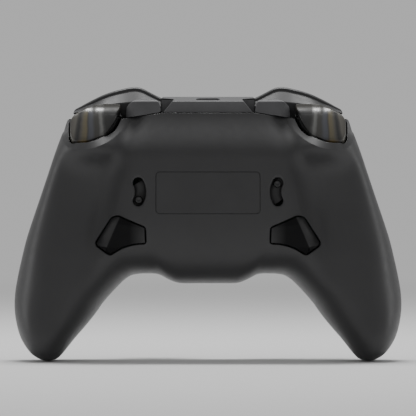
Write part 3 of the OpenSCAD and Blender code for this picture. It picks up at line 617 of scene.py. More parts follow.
def smoky_plastic(name, rough):
    """Smoky trigger plastic, opaque, with soft upright bands painted into its colour: painted reflections of
    the side lamps, together with the ribs and the amber strip moulded behind it as they would show through.

    The bands run along the trigger and lean in towards its top, so they are laid out in the object's own
    X and Z and fade into a painted shade on the top face.
    """
    mat, tree, shader = nodes_of(name, (0.05, 0.048, 0.044), rough, IOR=1.45, Coat_Weight=0.15,
                                 Coat_Roughness=0.3)
    link, calc, span = tree.links.new, partial(maths, tree), partial(ranged, tree)
    place = add(tree, "ShaderNodeTexCoord").outputs["Object"]
    split = add(tree, "ShaderNodeSeparateXYZ")
    link(place, split.inputs[0])
    height = split.outputs["Z"]
    across = calc("SUBTRACT", calc("ABSOLUTE", split.outputs["X"]), 46.5 * MM)
    lean = calc("SUBTRACT", 1.0, calc("MULTIPLY", calc("SUBTRACT", height, 34 * MM), 22.0))
    spread = calc("DIVIDE", across, lean)
    wobble = calc("MULTIPLY", calc("SUBTRACT", noise(tree, place, 260.0, 2.0), 0.5), 0.9 * MM)
    band = span(calc("ADD", spread, wobble), 0.0, 1.0, -9.5 * MM, 9.5 * MM)
    # These colour stops paint light and dark streaks: painted reflections of the side lamps, together with
    # the ribs and amber strip as they would show through the plastic.
    painted_streaks = add(tree, "ShaderNodeValToRGB")
    stops = [(0.00, (0.010, 0.010, 0.010)), (0.14, (0.013, 0.013, 0.012)), (0.19, (0.034, 0.034, 0.033)),
             (0.235, (0.10, 0.10, 0.095)), (0.275, (0.085, 0.085, 0.082)), (0.315, (0.034, 0.033, 0.03)),
             (0.40, (0.032, 0.031, 0.028)), (0.47, (0.052, 0.054, 0.062)), (0.535, (0.048, 0.05, 0.058)),
             (0.56, (0.035, 0.034, 0.033)), (0.60, (0.088, 0.074, 0.044)), (0.665, (0.082, 0.072, 0.048)),
             (0.71, (0.056, 0.052, 0.045)), (0.765, (0.018, 0.018, 0.018)), (0.81, (0.03, 0.029, 0.027)),
             (0.86, (0.085, 0.08, 0.07)), (0.95, (0.07, 0.066, 0.058)), (1.00, (0.045, 0.043, 0.04))]
    while len(painted_streaks.color_ramp.elements) < len(stops):
        painted_streaks.color_ramp.elements.new(0.5)
    for element, (where, colour) in zip(painted_streaks.color_ramp.elements, stops):
        element.position, element.color = where, (*colour, 1)
    link(band, painted_streaks.inputs["Fac"])
    # Painted shade: the colour is darkened on the top face of the trigger.
    top = span(height, 0.0, 1.0, 44.2 * MM, 45.6 * MM)
    streaks_and_top_shade = mix(tree, calc("MULTIPLY", top, 0.8), painted_streaks.outputs["Color"], (0.03, 0.028, 0.024))

    def near(centre, full, none):
        """1 within full of a line across the trigger, 0 beyond none, all in mm."""
        return span(calc("ABSOLUTE", calc("SUBTRACT", across, centre * MM)), 1.0, 0.0, full * MM, none * MM)

    # Painted glint: an amber spot near the lower edge stands for the brass strip shining through from inside.
    low = calc("MULTIPLY", span(height, 1.0, 0.0, 31.2 * MM, 33.4 * MM), near(2.4, 0.6, 3.6))
    colour_with_painted_glint = mix(tree, calc("MULTIPLY", low, 0.85), streaks_and_top_shade, (0.20, 0.125, 0.025))
    link(colour_with_painted_glint, shader.inputs["Base Color"])
    # The top face is matt but for two polished stretches beside the middle rib.
    polished = calc("MAXIMUM", near(-3.4, 0.9, 1.9), near(0.9, 0.7, 1.7))
    matt = calc("MULTIPLY", span(height, 0.0, 1.0, 42.3 * MM, 43.6 * MM),
                calc("SUBTRACT", 1.0, calc("MULTIPLY", polished, 0.55)))
    link(calc("MULTIPLY_ADD", matt, -0.42, 0.5), shader.inputs["Specular IOR Level"])
    link(calc("MULTIPLY_ADD", matt, -0.1, 0.1), shader.inputs["Coat Weight"])
    flow = noise(tree, place, 150.0, 3.0, Distortion=0.6)
    satin = calc("ADD", span(flow, rough * 0.6, rough * 1.5), calc("MULTIPLY", matt, 0.2))
    link(satin, shader.inputs["Roughness"])
    relief(tree, shader, flow, 0.10, 0.03)
    return mat


def paddle_plastic(name):
    """Black paddle plastic: the outer facet is rubbed to a satin, the inner one is a deep matt black that
    turns satin again near its hinge."""
    mat = plastic(name, (0.007, 0.007, 0.0075), 0.42, grain=0.3, size=0.2, depth=0.015, edge=0.5, spread=0.03)
    tree = mat.node_tree
    shader = next(n for n in tree.nodes if n.type == "BSDF_PRINCIPLED")
    split = add(tree, "ShaderNodeSeparateXYZ")
    tree.links.new(add(tree, "ShaderNodeTexCoord").outputs["Object"], split.inputs[0])
    across = maths(tree, "ABSOLUTE", split.outputs["X"])
    # The ridge between the facets leans outwards as it goes down.
    ridge = maths(tree, "MULTIPLY_ADD", split.outputs["Z"], 0.438, across)
    outer = ranged(tree, ridge, 0.08, 0.5, 35.7 * MM, 36.1 * MM)
    hinge = ranged(tree, across, 0.42, 0.0, 25.4 * MM, 31.0 * MM)
    tree.links.new(maths(tree, "ADD", outer, hinge), shader.inputs["Specular IOR Level"])
    return mat


SHELL = plastic("shell_plastic", (0.027, 0.027, 0.028), 0.43, grain=0.5, size=0.3, depth=0.03,
                spread=0.03, mottle=0.05)
PLATE = plastic("faceplate_plastic", (0.022, 0.022, 0.024), 0.5, grain=0.4, size=0.35, depth=0.02)
LABEL = plastic("label_plastic", (0.0268, 0.0268, 0.0278), 0.40, grain=0.3, size=0.2, depth=0.015, edge=0.15)
BUMPER = plastic("bumper_plastic", (0.018, 0.018, 0.019), 0.42, grain=0.2, size=0.2, depth=0.01,
                 spread=0.03, mottle=0.05, Specular_IOR_Level=0.42)
TAB = plastic("tab_plastic", (0.085, 0.085, 0.088), 0.45, grain=0.4, size=0.25, depth=0.02,
              Specular_IOR_Level=0.3)
PADDLE = paddle_plastic("paddle_plastic")
LEVER = plastic("lever_plastic", (0.006, 0.006, 0.0065), 0.16, grain=0.1, size=0.3, depth=0.01, spread=0.04)
SHUTTER = plastic("shutter_plastic", (0.03, 0.03, 0.031), 0.4, grain=0.3, size=0.25, depth=0.02)
TRIM = plastic("trim_plastic", (0.015, 0.015, 0.016), 0.3, grain=0.2, size=0.25, depth=0.01)
BUTTON = plastic("button_plastic", (0.014, 0.014, 0.015), 0.22, grain=0.12, size=0.3, depth=0.01, spread=0.05)
SOFT_BUTTON = plastic("small_button_plastic", (0.03, 0.03, 0.032), 0.38, grain=0.3, size=0.25, depth=0.015)
RUBBER = plastic("stick_rubber", (0.018, 0.018, 0.019), 0.66, grain=0.6, size=0.4, depth=0.04, mottle=0.2)
SILICONE = plastic("membrane_silicone", (0.4, 0.4, 0.42), 0.6, grain=0.3, size=0.4, depth=0.03)
BOARD = plastic("board_mask", (0.012, 0.075, 0.032), 0.35, grain=0.3, size=0.5, depth=0.02, mottle=0.25)
BATTERY = plastic("battery_film", (0.04, 0.12, 0.28), 0.3, grain=0.2, size=0.8, depth=0.03)
INNER = plastic("inner_plastic", (0.015, 0.015, 0.016), 0.45, grain=0.3, size=0.3, depth=0.02)
PALE = plastic("inner_pale_plastic", (0.5, 0.5, 0.48), 0.4, grain=0.3, size=0.3, depth=0.02)
RIB = plastic("trigger_rib_plastic", (0.16, 0.15, 0.13), 0.3, grain=0.2, size=0.3, depth=0.01)
BRASS = metal("brass_strip", (0.83, 0.55, 0.18), 0.22)
STEEL = metal("brushed_steel", (0.56, 0.56, 0.57), 0.3)
DARK_STEEL = metal("dark_steel", (0.16, 0.16, 0.165), 0.38)
BLACKENED = plastic("blackened_steel", (0.006, 0.006, 0.006), 0.6, grain=0.3, size=0.3, depth=0.02)
SMOKE = smoky_plastic("smoky_trigger_plastic", 0.12)

SLOT_MATERIAL = {
    "shell": SHELL, "faceplate": PLATE, "label": LABEL, "trim": TRIM, "bumper": BUMPER, "tab": TAB,
    "paddle": PADDLE, "lever": LEVER, "button": BUTTON, "button_soft": SOFT_BUTTON, "rubber": RUBBER,
    "silicone": SILICONE, "board": BOARD, "battery": BATTERY, "inner_plastic": INNER,
    "inner_pale": PALE, "brass": BRASS, "steel": STEEL, "steel_dark": DARK_STEEL, "trigger_clear": SMOKE,
}


def finish_piece(ob, body, slot, replaced=(), material=None, sharp=40):
    """Gives a new piece its finish, its body and the CAD nodes that it stands for."""
    ob.data.materials.clear()
    ob.data.materials.append(material or SLOT_MATERIAL[slot])
    ob.data.polygons.foreach_set("use_smooth", [True] * len(ob.data.polygons))
    if sharp:
        ob.data.set_sharp_from_angle(angle=math.radians(sharp))
    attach(ob, body)
    if replaced:
        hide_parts(*replaced)
    return ob


# CAD nodes that stay get their slot's material.
for entry in frame["record"]["subparts"]:
    ob = frame["nodes"][entry["node"]]
    ob.data.materials.clear()
    hidden = entry["node"].startswith("trigger_pin")
    ob.data.materials.append(BLACKENED if hidden else SLOT_MATERIAL[entry["material_slot"]])


# ------------------------------------------------------------------ back shell

PIVOT_Y, PIVOT_Z = -9.5, 43.8
# The trigger's outline as it turns: how far it reaches from its pivot at each x.
REACH = [(-54.6, 13.8), (-53.8, 15.9), (-52.4, 17.0), (-50.0, 17.1), (-47.0, 16.8), (-44.0, 15.8),
         (-42.0, 14.6), (-40.0, 13.1), (-38.4, 11.0), (-37.0, 8.6), (-35.8, 5.6), (-34.9, 3.4)]
BACK_TOP = [(-80, 70), (-80, 41.4), (-35.0, 41.4), (-33.0, 41.7), (-18.2, 43.9)]
FRONT_TOP = [(-80, 70), (-80, 41.6), (-54.0, 41.9), (-19.0, 43.7), (-18.2, 43.9)]
PADDLE_EDGE = [(-38.1, 2.2), (-35.6, 2.7), (-25.0, -1.8), (-24.8, -7.8), (-28.6, -8.0), (-32.0, -8.8),
               (-34.7, -9.8), (-38.8, -12.3), (-43.8, -8.8), (-44.2, -7.7)]
LEVER_X, LEVER_Z, LEVER_R, SLOT_W, SLOT_ANGLE = -34.2, 12.5, 7.5, 2.15, 28
LABEL_Z, LABEL_SEAT = 12.1, -22.06
# The sloping ring round each trigger, and a depth well outside the back.
RING_WIDTH, RING_DROP, OUTSIDE_Y = 2.7, 1.2, -45.0


def turned(profile):
    """Solid of revolution about the trigger's pivot from (x, reach) points."""
    p = smooth_line(profile, 5)
    p = [(0.0, p[0][0])] + [(r, x) for x, r in p] + [(0.0, p[-1][0])]
    return lathe(p, "x", (0, PIVOT_Y, PIVOT_Z), 144)


def grown_reach(g):
    return [(x - g if x < -45 else x + g, r + g) for x, r in REACH]


def on_lever_arc(angle):
    """A point of the stop lever's slot, by its angle in degrees."""
    a = math.radians(angle)
    return LEVER_X + LEVER_R * math.cos(a), LEVER_Z + LEVER_R * math.sin(a)


def slot_outline():
    low, high, w = -SLOT_ANGLE, SLOT_ANGLE, SLOT_W
    out = arc(LEVER_X, LEVER_Z, LEVER_R + w, low, high, 15)
    out += arc(*on_lever_arc(high), w, high, high + 180, 13)[1:-1]
    out += arc(LEVER_X, LEVER_Z, LEVER_R - w, high, low, 15)
    out += arc(*on_lever_arc(low), w, low + 180, low + 360, 13)[1:-1]
    return np.array(out)


def round_rect(w, h, cz, r):
    """A rectangle about (0, cz) with rounded corners."""
    out = []
    for sx, sz, start in ((1, 1, 0), (-1, 1, 90), (-1, -1, 180), (1, -1, 270)):
        out += arc(sx * (w / 2 - r), cz + sz * (h / 2 - r), r, start, start + 90, 7)
    return out


# The trigger's opening in the back, carried on above the shell.
OPENING = [(-55.4, 44), (-55.4, 38.5), (-55.3, 35.2), (-54.6, 33.1), (-53.0, 32.05), (-50.0, 31.8),
           (-47.0, 32.1), (-44.4, 32.9), (-42.0, 34.0), (-39.8, 35.4), (-38.0, 37.1), (-36.5, 39.1),
           (-35.5, 41.2), (-34.9, 43.5)]


def trigger_opening():
    line = [tuple(p) for p in smooth_line(OPENING, 5)]
    return denser(np.array([(-55.4, 60.0)] + line + [(-34.5, 60.0)]), 1.0)


def chamfer_cutter(outline, floor_y, width, drop):
    """Cuts a band of even width round an opening in the back, which slopes in by drop."""
    inner, outer = outline, outset(outline, width)
    y_in, y_out = surface_y(inner, -1) + drop, surface_y(outer, -1)
    rows = [level_ring(inner, floor_y)]
    for f in (0.0, 0.5, 1.0, 1.6):
        p = inner + (outer - inner) * f
        rows.append(np.stack([p[:, 0], y_in + (y_out - y_in) * f, p[:, 1]], 1))
    rows.append(level_ring(p, OUTSIDE_Y))
    return loft("cutter", rows)


shell = half_body("back_shell_skin", -1)
cut(shell, inner_body("hollow"), prism(mirrored(BACK_TOP), "y", -40, 12))
for side, word in SIDES:
    trigger_pocket = common(turned(grown_reach(0.6)), box_solid(-60, -30, -40, -1.2, 10, 80))
    trigger_ring = chamfer_cutter(trigger_opening(), -14.0, RING_WIDTH, RING_DROP)
    lever_slot = surface_cutter(slot_outline(), -1, -10.0, 0.5)
    paddle_hole = surface_cutter(outset(denser(rounded(PADDLE_EDGE, 0.9, 4), 1.2), 0.42), -1, -10.0, 0.3)
    for cutter in (trigger_pocket, trigger_ring, lever_slot, paddle_hole):
        cut(shell, cutter if side < 0 else flip_x(cutter))
cut(shell, prism(round_rect(41.5, 16.8, LABEL_Z, 1.7), "y", -40, LABEL_SEAT))
finish_piece(shell, "case", "shell", ["back_shell"], sharp=32)


# ------------------------------------------------------- front shell and faceplate


def spot(node):
    """Centre in X and Z of a CAD node, in mm."""
    lo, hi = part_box(node)
    return ((lo[0] + hi[0]) / 2 / MM, (lo[2] + hi[2]) / 2 / MM)


PLATE_EDGE = [(0, 41.6), (-16, 41.6), (-30, 40.2), (-42, 38.6), (-50, 36.2), (-54.5, 31), (-57, 22),
              (-58.5, 12), (-58, 3), (-54.5, -5), (-48.2, -11.4), (-41, -15.4), (-33, -17.6), (-24, -17.9),
              (-16, -19.4), (-9, -21.4), (0, -21.8)]
STICKS = {n: spot(f"stick_{n}_cap") for n in ("left", "right")}
FACE = {n: spot(f"button_{n}") for n in ("north", "east", "south", "west")}
# Radius and top of each small button.
SMALL = {"home": (5.6, 14.0), "menu": (2.8, 14.3), "view": (2.8, 14.3), "capture": (2.3, 14.3)}
DPAD = spot("dpad_cap")


def plus_shape(half, arm):
    return [(arm, arm), (arm, half), (-arm, half), (-arm, arm), (-half, arm), (-half, -arm),
            (-arm, -arm), (-arm, -half), (arm, -half), (arm, -arm), (half, -arm), (half, arm)]


def front_holes(grow):
    """Cutters for the openings in the thumb side, wider all round by grow."""
    circles = [(x, z, 13.0) for x, z in STICKS.values()] + [(x, z, 5.45) for x, z in FACE.values()]
    circles += [(*spot(f"{n}_button"), r + 0.3) for n, (r, _) in SMALL.items()]
    outlines = [np.array([(x + (r + grow) * math.cos(a), z + (r + grow) * math.sin(a))
                          for a in np.linspace(0, 2 * math.pi, 73)[:-1]]) for x, z, r in circles]
    cross = rounded(plus_shape(11.8 + grow, 4.3 + grow), 1.0, 4)
    outlines.append(denser(cross + np.array(DPAD), 1.0))
    return [prism(o, "y", 2, 40) for o in outlines]


front = half_body("front_shell_skin", 1)
cut(front, inner_body("hollow"), prism(mirrored(FRONT_TOP), "y", -12, 40))
plate_line = smooth_line([(-x, z) for x, z in reversed(PLATE_EDGE[1:])] + PLATE_EDGE, 4, closed=True)
recess = cut(prism(outset(plate_line, 0.2), "y", 2, 40), half_body("core", 1, -0.7, 40, 150))
cut(front, recess, *front_holes(0.0))
cut(front, rod(3.4, -40, -10, "z", (0, 4.7, 0), 64))
finish_piece(front, "case", "shell", ["front_shell"], sharp=32)

plate = common(half_body("faceplate_skin", 1, 0.5, 64, 260), prism(plate_line, "y", 2, 40))
cut(plate, half_body("core", 1, -0.6, 40, 150), *front_holes(0.1))
finish_piece(plate, "case", "faceplate", ["faceplate"], sharp=32)


# -------------------------------------------------------- label plate and bridge

label = prism(round_rect(41.1, 16.4, LABEL_Z, 1.5), "y", -22.34, LABEL_SEAT, "label_plate_skin")
bevel(label, 0.08, 2)
finish_piece(label, "case", "label", ["label_plate"], sharp=8)

BRIDGE_SIDE = [(-14.1, 44.05), (-13.1, 48.6), (-5.0, 50.6), (6, 50.6), (9.6, 49.0), (11.4, 46.2),
               (12.0, 44.05)]
BRIDGE_EDGE = [(-17.9, 44.05), (-14.1, 48.75), (-13.6, 49.5), (-18.3, 49.9), (-18.3, 51)]
BRIDGE_HOLLOW = [(-12.1, 40), (-12.1, 44.1), (-11.6, 46.8), (-5.0, 48.6), (6, 48.6), (8.4, 47.4),
                 (9.9, 44.1), (9.9, 40)]


def pill(w, d, y, z0, z1):
    """An upright solid with round ends: the charging slot's opening."""
    r = d / 2
    end = arc(w / 2 - r, y, r, -90, 90, 17)
    return prism(end + [(-x, 2 * y - q) for x, q in end], "z", z0, z1)


bridge = prism(BRIDGE_SIDE, "x", -18.3, 18.3, "top_bridge_skin")
common(bridge, prism(mirrored(BRIDGE_EDGE), "y", -30, 20))
bevel(bridge, 0.28, 3)
cut(bridge, prism(BRIDGE_HOLLOW, "x", -12.5, 12.5), pill(9.6, 3.7, -9.6, 40, 60))
# Two upright walls at each end of the bridge.
for s in (-1, 1):
    for reach, y0, y1, top in ((18.85, -1.0, 0.2, 50.2), (18.5, -9.5, -8.3, 49.3)):
        x0, x1 = sorted((s * 13.6, s * reach))
        join(bridge, box_solid(x0, x1, y0, y1, 44.1, top))
finish_piece(bridge, "case", "shell", ["top_bridge"], material=TAB, sharp=28)


# ----------------------------------------------------------------------- triggers

FACE_LINE = [(-4.9, 47.3), (-8.0, 47.7), (-11.2, 46.9), (-14.2, 45.0), (-16.9, 42.2), (-19.3, 38.9),
             (-21.1, 35.9), (-22.1, 33.8), (-22.4, 32.5)]
UNDER_LINE = [(-6.6, 45.4), (-8.6, 45.8), (-10.7, 45.1), (-13.1, 43.6), (-15.5, 41.2), (-17.8, 38.0),
              (-19.5, 35.2), (-20.3, 33.2)]
TRIGGER_EDGE = [(-54.7, 15), (-54.7, 40.8), (-53.1, 43.1), (-49.5, 45.4), (-45.8, 47.0), (-42.5, 47.7),
                (-37.6, 47.8), (-34.8, 47.2), (-34.0, 44), (-34.0, 15)]
edge_line = [TRIGGER_EDGE[0], *smooth_line(TRIGGER_EDGE[1:-1], 4), TRIGGER_EDGE[-1]]

face_line = [*smooth_line(FACE_LINE, 5), (-24, 28), (-14.2, 24.8), (-10.5, 39.8), (-6.3, 42)]
cover = prism(face_line, "x", -55, -34, "trigger_left_cover")
common(cover, turned(REACH), prism(edge_line, "y", -30, 0))
soften(cover, 0.26, 16)
under_line = [*smooth_line(UNDER_LINE, 5), (-22.5, 30), (-15, 20.5), (-7.5, 20.5), (-3, 42)]
hollow = prism(under_line, "x", -52.8, -36.7)
common(hollow, turned(grown_reach(-1.8)), prism(outset(edge_line, -1.6), "y", -30, 5))
cut(cover, hollow, rod(2.15, -48.9, -37.7, "x", (0, PIVOT_Y, PIVOT_Z)))

RIB_SIDE = [(-12.6, 43.0), (-14.1, 42.0), (-16.2, 39.5), (-18.0, 36.7), (-19.1, 34.6), (-18.3, 34.1),
            (-15.4, 38.9), (-12.2, 42.3)]
RIB_SPANS = ((-52.0, -51.1), (-49.4, -47.4), (-46.2, -45.6), (-44.2, -43.3))
ribs, *others = [bevel(prism(RIB_SIDE, "x", a, b), 0.15, 2) for a, b in RIB_SPANS]
join(ribs, *others)
ribs.name = "trigger_left_ribs"
for side, word in SIDES:
    shown = handed(cover, side, f"trigger_{word}_cover")
    inside = handed(ribs, side, f"trigger_{word}_ribs")
    finish_piece(shown, f"trigger_{word}_set", "trigger_clear", [f"trigger_{word}"], sharp=35)
    finish_piece(inside, f"trigger_{word}_set", "inner_plastic", material=RIB, sharp=30)


# ------------------------------------------------------- bumpers and macro tabs

# Along the bumper: x, the height of its lower edge, and that of its top.
BUMPER_LINE = [(-53.9, 43.9, 45.0), (-53.2, 43.5, 45.9), (-51.0, 43.5, 47.1), (-48.5, 43.6, 48.5),
               (-45.2, 43.6, 50.2), (-42.0, 43.7, 51.7), (-39.0, 43.7, 52.8), (-36.2, 43.8, 53.6),
               (-33.6, 43.8, 54.2), (-31.2, 43.8, 54.7), (-28.6, 43.9, 54.8), (-26.3, 44.0, 54.2),
               (-22.8, 44.1, 52.4), (-20.5, 44.2, 51.2), (-18.9, 44.3, 50.5)]


def bumper_ring(x, b, t):
    """The bumper's section at x, between heights b and t."""
    h = t - b
    side = [(-3.9, b), (-3.9, b + 0.42 * h), (0.4, t - min(1.8, 0.3 * h)), (0.6, t - min(0.6, 0.1 * h)),
            (1.7, t), (4.2, t - 0.05 * h), (7.2, t - 0.2 * h), (9.4, t - 0.48 * h), (10.6, b)]
    return [(x, y, z) for y, z in rounded(side, 0.5, 5)]


BUMPER_HOLLOW = [(-1.9, 40), (-1.9, 45.4), (1.4, 47.2), (5, 47.6), (8.4, 45.2), (8.4, 40)]
bumper = loft("bumper_left_skin", [bumper_ring(*p) for p in smooth_line(BUMPER_LINE, 5)])
cut(bumper, prism(BUMPER_HOLLOW, "x", -44, -22))

MACRO_EDGE = [(-32.7, 41.98), (-32.4, 46.4), (-30.2, 48.6), (-26.7, 49.7), (-20.5, 49.2), (-19.2, 47.7),
              (-18.7, 44.1)]
MACRO_SIDE = [(-14.9, 41.5), (-13.2, 48.35), (-12.6, 49.0), (-9, 49.9), (-7, 49.9), (-7, 41.5)]
macro = prism(rounded(MACRO_EDGE, 1.0, 4), "y", -20, -7, "macro_left_skin")
common(macro, prism(MACRO_SIDE, "x", -40, -10))
# A finger's scoop at the outer end, hollowed as a parabola.
scoop = [(-26.4 - 0.6 * k, -15.0 + 0.085 * (0.6 * k) ** 2) for k in range(13)]
cut(macro, prism(scoop + [(-34.5, -9.8), (-34.5, -17), (-26.4, -17)], "z", 40, 52))
soften(macro, 0.14, 4)
for side, word in SIDES:
    press = handed(bumper, side, f"bumper_{word}_skin")
    tab = handed(macro, side, f"macro_{word}_skin")
    finish_piece(press, f"bumper_{word}_set", "bumper", [f"bumper_{word}"], sharp=40)
    finish_piece(tab, f"macro_{word}_set", "tab", [f"macro_{word}"], sharp=0)


# ---------------------------------------------------------- paddles and levers

# Corners of the paddle and how far each stands out of the shell. The first ten are its edge, as in
# PADDLE_EDGE, then come the two ends of its ridge and the middle of its inner facet.
PADDLE_TOP = [(-38.1, 2.2, 0.9), (-35.6, 2.7, 1.3), (-25.0, -1.8, 0.0), (-24.8, -7.8, 0.0),
              (-28.6, -8.0, 0.2), (-32.0, -8.8, 0.4), (-34.7, -9.8, 0.8), (-38.8, -12.3, 1.0),
              (-43.8, -8.8, 0.6), (-44.2, -7.7, 0.6), (-36.1, -0.2, 2.7), (-40.0, -9.1, 3.3),
              (-31.5, -4.2, 0.1)]
PADDLE_FACETS = [(0, 1, 10), (1, 2, 10), (10, 2, 12), (2, 3, 12), (3, 4, 12), (4, 5, 12), (5, 6, 12),
                 (6, 11, 12), (11, 10, 12), (6, 7, 11), (7, 8, 11), (8, 9, 11), (9, 0, 10), (9, 10, 11)]
PADDLE_PIN = (-27, -16.4, 0)


def paddle_blank():
    """The faceted plate, without its hinge."""
    edge, corners = len(PADDLE_EDGE), len(PADDLE_TOP)
    depth = surface_y(np.array([(x, z) for x, z, _ in PADDLE_TOP]), -1)
    points = [(x, y - out, z) for (x, z, out), y in zip(PADDLE_TOP, depth)]
    points += [(x, y + 2.0, z) for (x, z, _), y in zip(PADDLE_TOP[:edge], depth)]
    walls = [(i, corners + i, corners + (i + 1) % edge, (i + 1) % edge) for i in range(edge)]
    return make("paddle_left_skin", points, PADDLE_FACETS + walls + [[corners + i for i in range(edge)]])


paddle = bevel(paddle_blank(), 0.35, 3, 12)
hinge = join(rod(1.9, -6.9, -2.5, "z", PADDLE_PIN), box_solid(-27.6, -26.4, -20, -17.4, -6.8, -2.6))
join(paddle, hinge)
cut(paddle, rod(1.05, -8, -1, "z", PADDLE_PIN))

KNOB = [(0, -15.3), (1.55, -15.3), (1.55, -21.4), (1.42, -21.95), (1.15, -22.28), (0.85, -22.4),
        (0.55, -22.3), (0.3, -22.15), (0, -22.1)]
LEVER_HUB = [(0, -15.6), (2.45, -15.6), (2.6, -15.45), (2.6, -14.2), (0, -14.2)]
LEVER_DISC = [(0, -15.6), (1.9, -15.6), (2.0, -15.5), (2.0, -14.2), (0, -14.2)]
LEVER_LINK = [(1.6, -1.1), (6.9, -1.1), (6.9, 1.1), (1.6, 1.1)]
SHUTTER_OUTER, SHUTTER_INNER = 9.9, 5.1
# The angle at which each lever rests, and the stretch that its shutter covers, as laid out on the left.
LEVER_REST = {"left": (-25, -80, 30), "right": (25, -34, 80)}


def stop_lever(word):
    """The lever with its knob, laid out on the left."""
    rest = LEVER_REST[word][0]
    kx, kz = on_lever_arc(rest)
    c, s = math.cos(math.radians(rest)), math.sin(math.radians(rest))
    link = [(LEVER_X + x * c - z * s, LEVER_Z + x * s + z * c) for x, z in LEVER_LINK]
    pivot = (LEVER_X, 0, LEVER_Z)
    knob = lathe(KNOB, "y", (kx, 0, kz), 48, f"stop_lever_{word}_knob")
    join(knob, lathe(LEVER_DISC, "y", (kx, 0, kz), 48), prism(link, "y", -15.4, -14.4),
         lathe(LEVER_HUB, "y", pivot, 64))
    return cut(knob, rod(1.05, -17, -13, "y", pivot))


def lever_shutter(word):
    """The curved leaf behind the slot, laid out on the left."""
    low, high = LEVER_REST[word][1:]
    leaf = arc(LEVER_X, LEVER_Z, SHUTTER_OUTER, low, high, 31)
    leaf += arc(LEVER_X, LEVER_Z, SHUTTER_INNER, high, low, 31)
    return bevel(prism(leaf, "y", -18.0, -17.5, f"stop_lever_{word}_shutter"), 0.1, 2)


for side, word in SIDES:
    blade = handed(paddle, side, f"paddle_{word}_skin")
    finish_piece(blade, f"paddle_{word}_set", "paddle", [f"paddle_{word}"], sharp=40)
    lever, shutter = stop_lever(word), lever_shutter(word)
    if side > 0:
        flip_x(lever)
        flip_x(shutter)
    finish_piece(lever, f"stop_lever_{word}_set", "lever", [f"stop_lever_{word}"], sharp=35)
    finish_piece(shutter, f"stop_lever_{word}_set", "lever", material=SHUTTER, sharp=35)


# ------------------------------------------------------------- thumb-side controls

CAP_TOP, CAP_R = 27.4, 9.4
CAP = [(0, 24.9), (3.7, 24.9), (3.7, 19.8), (6.4, 19.8), (7.4, 20.4), (8.5, 21.4), (9.1, 22.6),
       (9.35, 23.6), (CAP_R, 24.2), (CAP_R, 24.9), (CAP_R, 25.6), (CAP_R, CAP_TOP - 1.2),
       (9.25, CAP_TOP - 0.6), (8.8, CAP_TOP - 0.12), (8.2, CAP_TOP), (7.4, CAP_TOP - 0.05),
       (6.9, CAP_TOP - 0.4), (6.3, CAP_TOP - 0.75), (4.5, CAP_TOP - 1.25), (2.2, CAP_TOP - 1.52),
       (0, CAP_TOP - 1.6)]
STICK_RING = [(12.15, 10.2), (12.85, 10.2), (12.85, 14.0), (14.2, 14.0), (14.2, 14.4), (14.1, 14.6),
              (13.8, 14.76), (13.4, 14.8), (12.0, 14.8), (11.6, 14.75), (11.35, 14.55), (11.2, 14.3),
              (11.2, 13.85), (11.6, 13.65), (12.15, 13.4)]


def knurl(r, y, a):
    """Sixty-four shallow flutes round the side of the cap."""
    on_side = 24.0 < y < CAP_TOP - 0.9 and r > 9.2
    return -0.016 * (0.5 + 0.5 * math.cos(64 * a)) if on_side else 0.0


for word, (x, z) in STICKS.items():
    cap = lathe(CAP, "y", (x, 0, z), 384, f"stick_{word}_cap_skin", knurl)
    finish_piece(cap, f"stick_{word}_cap_body", "rubber", [f"stick_{word}_cap"], sharp=50)
    ring = lathe(STICK_RING, "y", (x, 0, z), 128, f"stick_{word}_ring_skin")
    finish_piece(ring, "case", "trim", [f"stick_ring_{word}"], sharp=50)

dx, dz = DPAD
CROSS_DISH = [(0, 14.9), (3.0, 15.0), (6.0, 15.35), (9.0, 15.75), (11.5, 16.3), (13, 17.5), (0, 17.5)]
cross = prism(rounded(plus_shape(11.0, 3.5), 0.5, 3) + np.array(DPAD), "y", 10.4, 16.2, "dpad_cap_skin")
cut(cross, lathe(CROSS_DISH, "y", (dx, 0, dz), 96))
soften(cross, 0.22, 6)
for z0 in (dz - 4.2, dz + 3.2):
    join(cross, box_solid(dx - 1.5, dx + 1.5, 7.1, 10.6, z0, z0 + 1.0))
cut(cross, rod(0.85, dz - 6, dz + 6, "z", (dx, 8.6, 0), 32))
finish_piece(cross, "dpad_body", "button", ["dpad_cap"], sharp=45)

R = 5.1
DOME = [(0, 6.4), (R + 0.9, 6.4), (R + 0.9, 7.4), (R, 7.4), (R, 14.9), (R - 0.1, 15.3), (R - 0.35, 15.65),
        (R - 0.75, 15.88), (R - 1.4, 16.02), (R - 2.6, 16.15), (1.2, 16.28), (0, 16.3)]
for word, (x, z) in FACE.items():
    button = lathe(DOME, "y", (x, 0, z), 96, f"button_{word}_skin")
    finish_piece(button, f"button_{word}_body", "button", [f"button_{word}"], sharp=50)
for word, (r, top) in SMALL.items():
    x, z = spot(f"{word}_button")
    dish = 0.35 if word == "home" else 0.0
    form = [(0, 6.9), (r + 0.7, 6.9), (r + 0.7, 7.8), (r, 7.8), (r, top - 0.5), (r - 0.08, top - 0.25),
            (r - 0.25, top - 0.08), (r - 0.5, top), (r - 0.7, top), (r * 0.7, top - dish * 0.6),
            (r * 0.35, top - dish * 0.9), (0, top - dish)]
    button = lathe(form, "y", (x, 0, z), 96, f"{word}_button_skin")
    finish_piece(button, f"{word}_body", "button_soft", [f"{word}_button"], sharp=50)


# ------------------------------------------------------- camera, light and floor


def area(name, place, target, size, power):
    """A rectangular studio light, with its place, target and size in metres."""
    data = bpy.data.lights.new(name, "AREA")
    data.shape, data.size, data.size_y = "RECTANGLE", size[0], size[1]
    data.energy = power
    ob = bpy.data.objects.new(name, data)
    ob.location = place
    ob.rotation_euler = (Vector(target) - Vector(place)).to_track_quat("-Z", "Y").to_euler()
    bpy.context.scene.collection.objects.link(ob)


WORLD_TONE = 0.5
world = bpy.data.worlds.new("studio")
bpy.context.scene.world = world
world.use_nodes = True
background = world.node_tree.nodes["Background"]
background.inputs["Color"].default_value = (WORLD_TONE, WORLD_TONE, WORLD_TONE, 1)
background.inputs["Strength"].default_value = 1.0

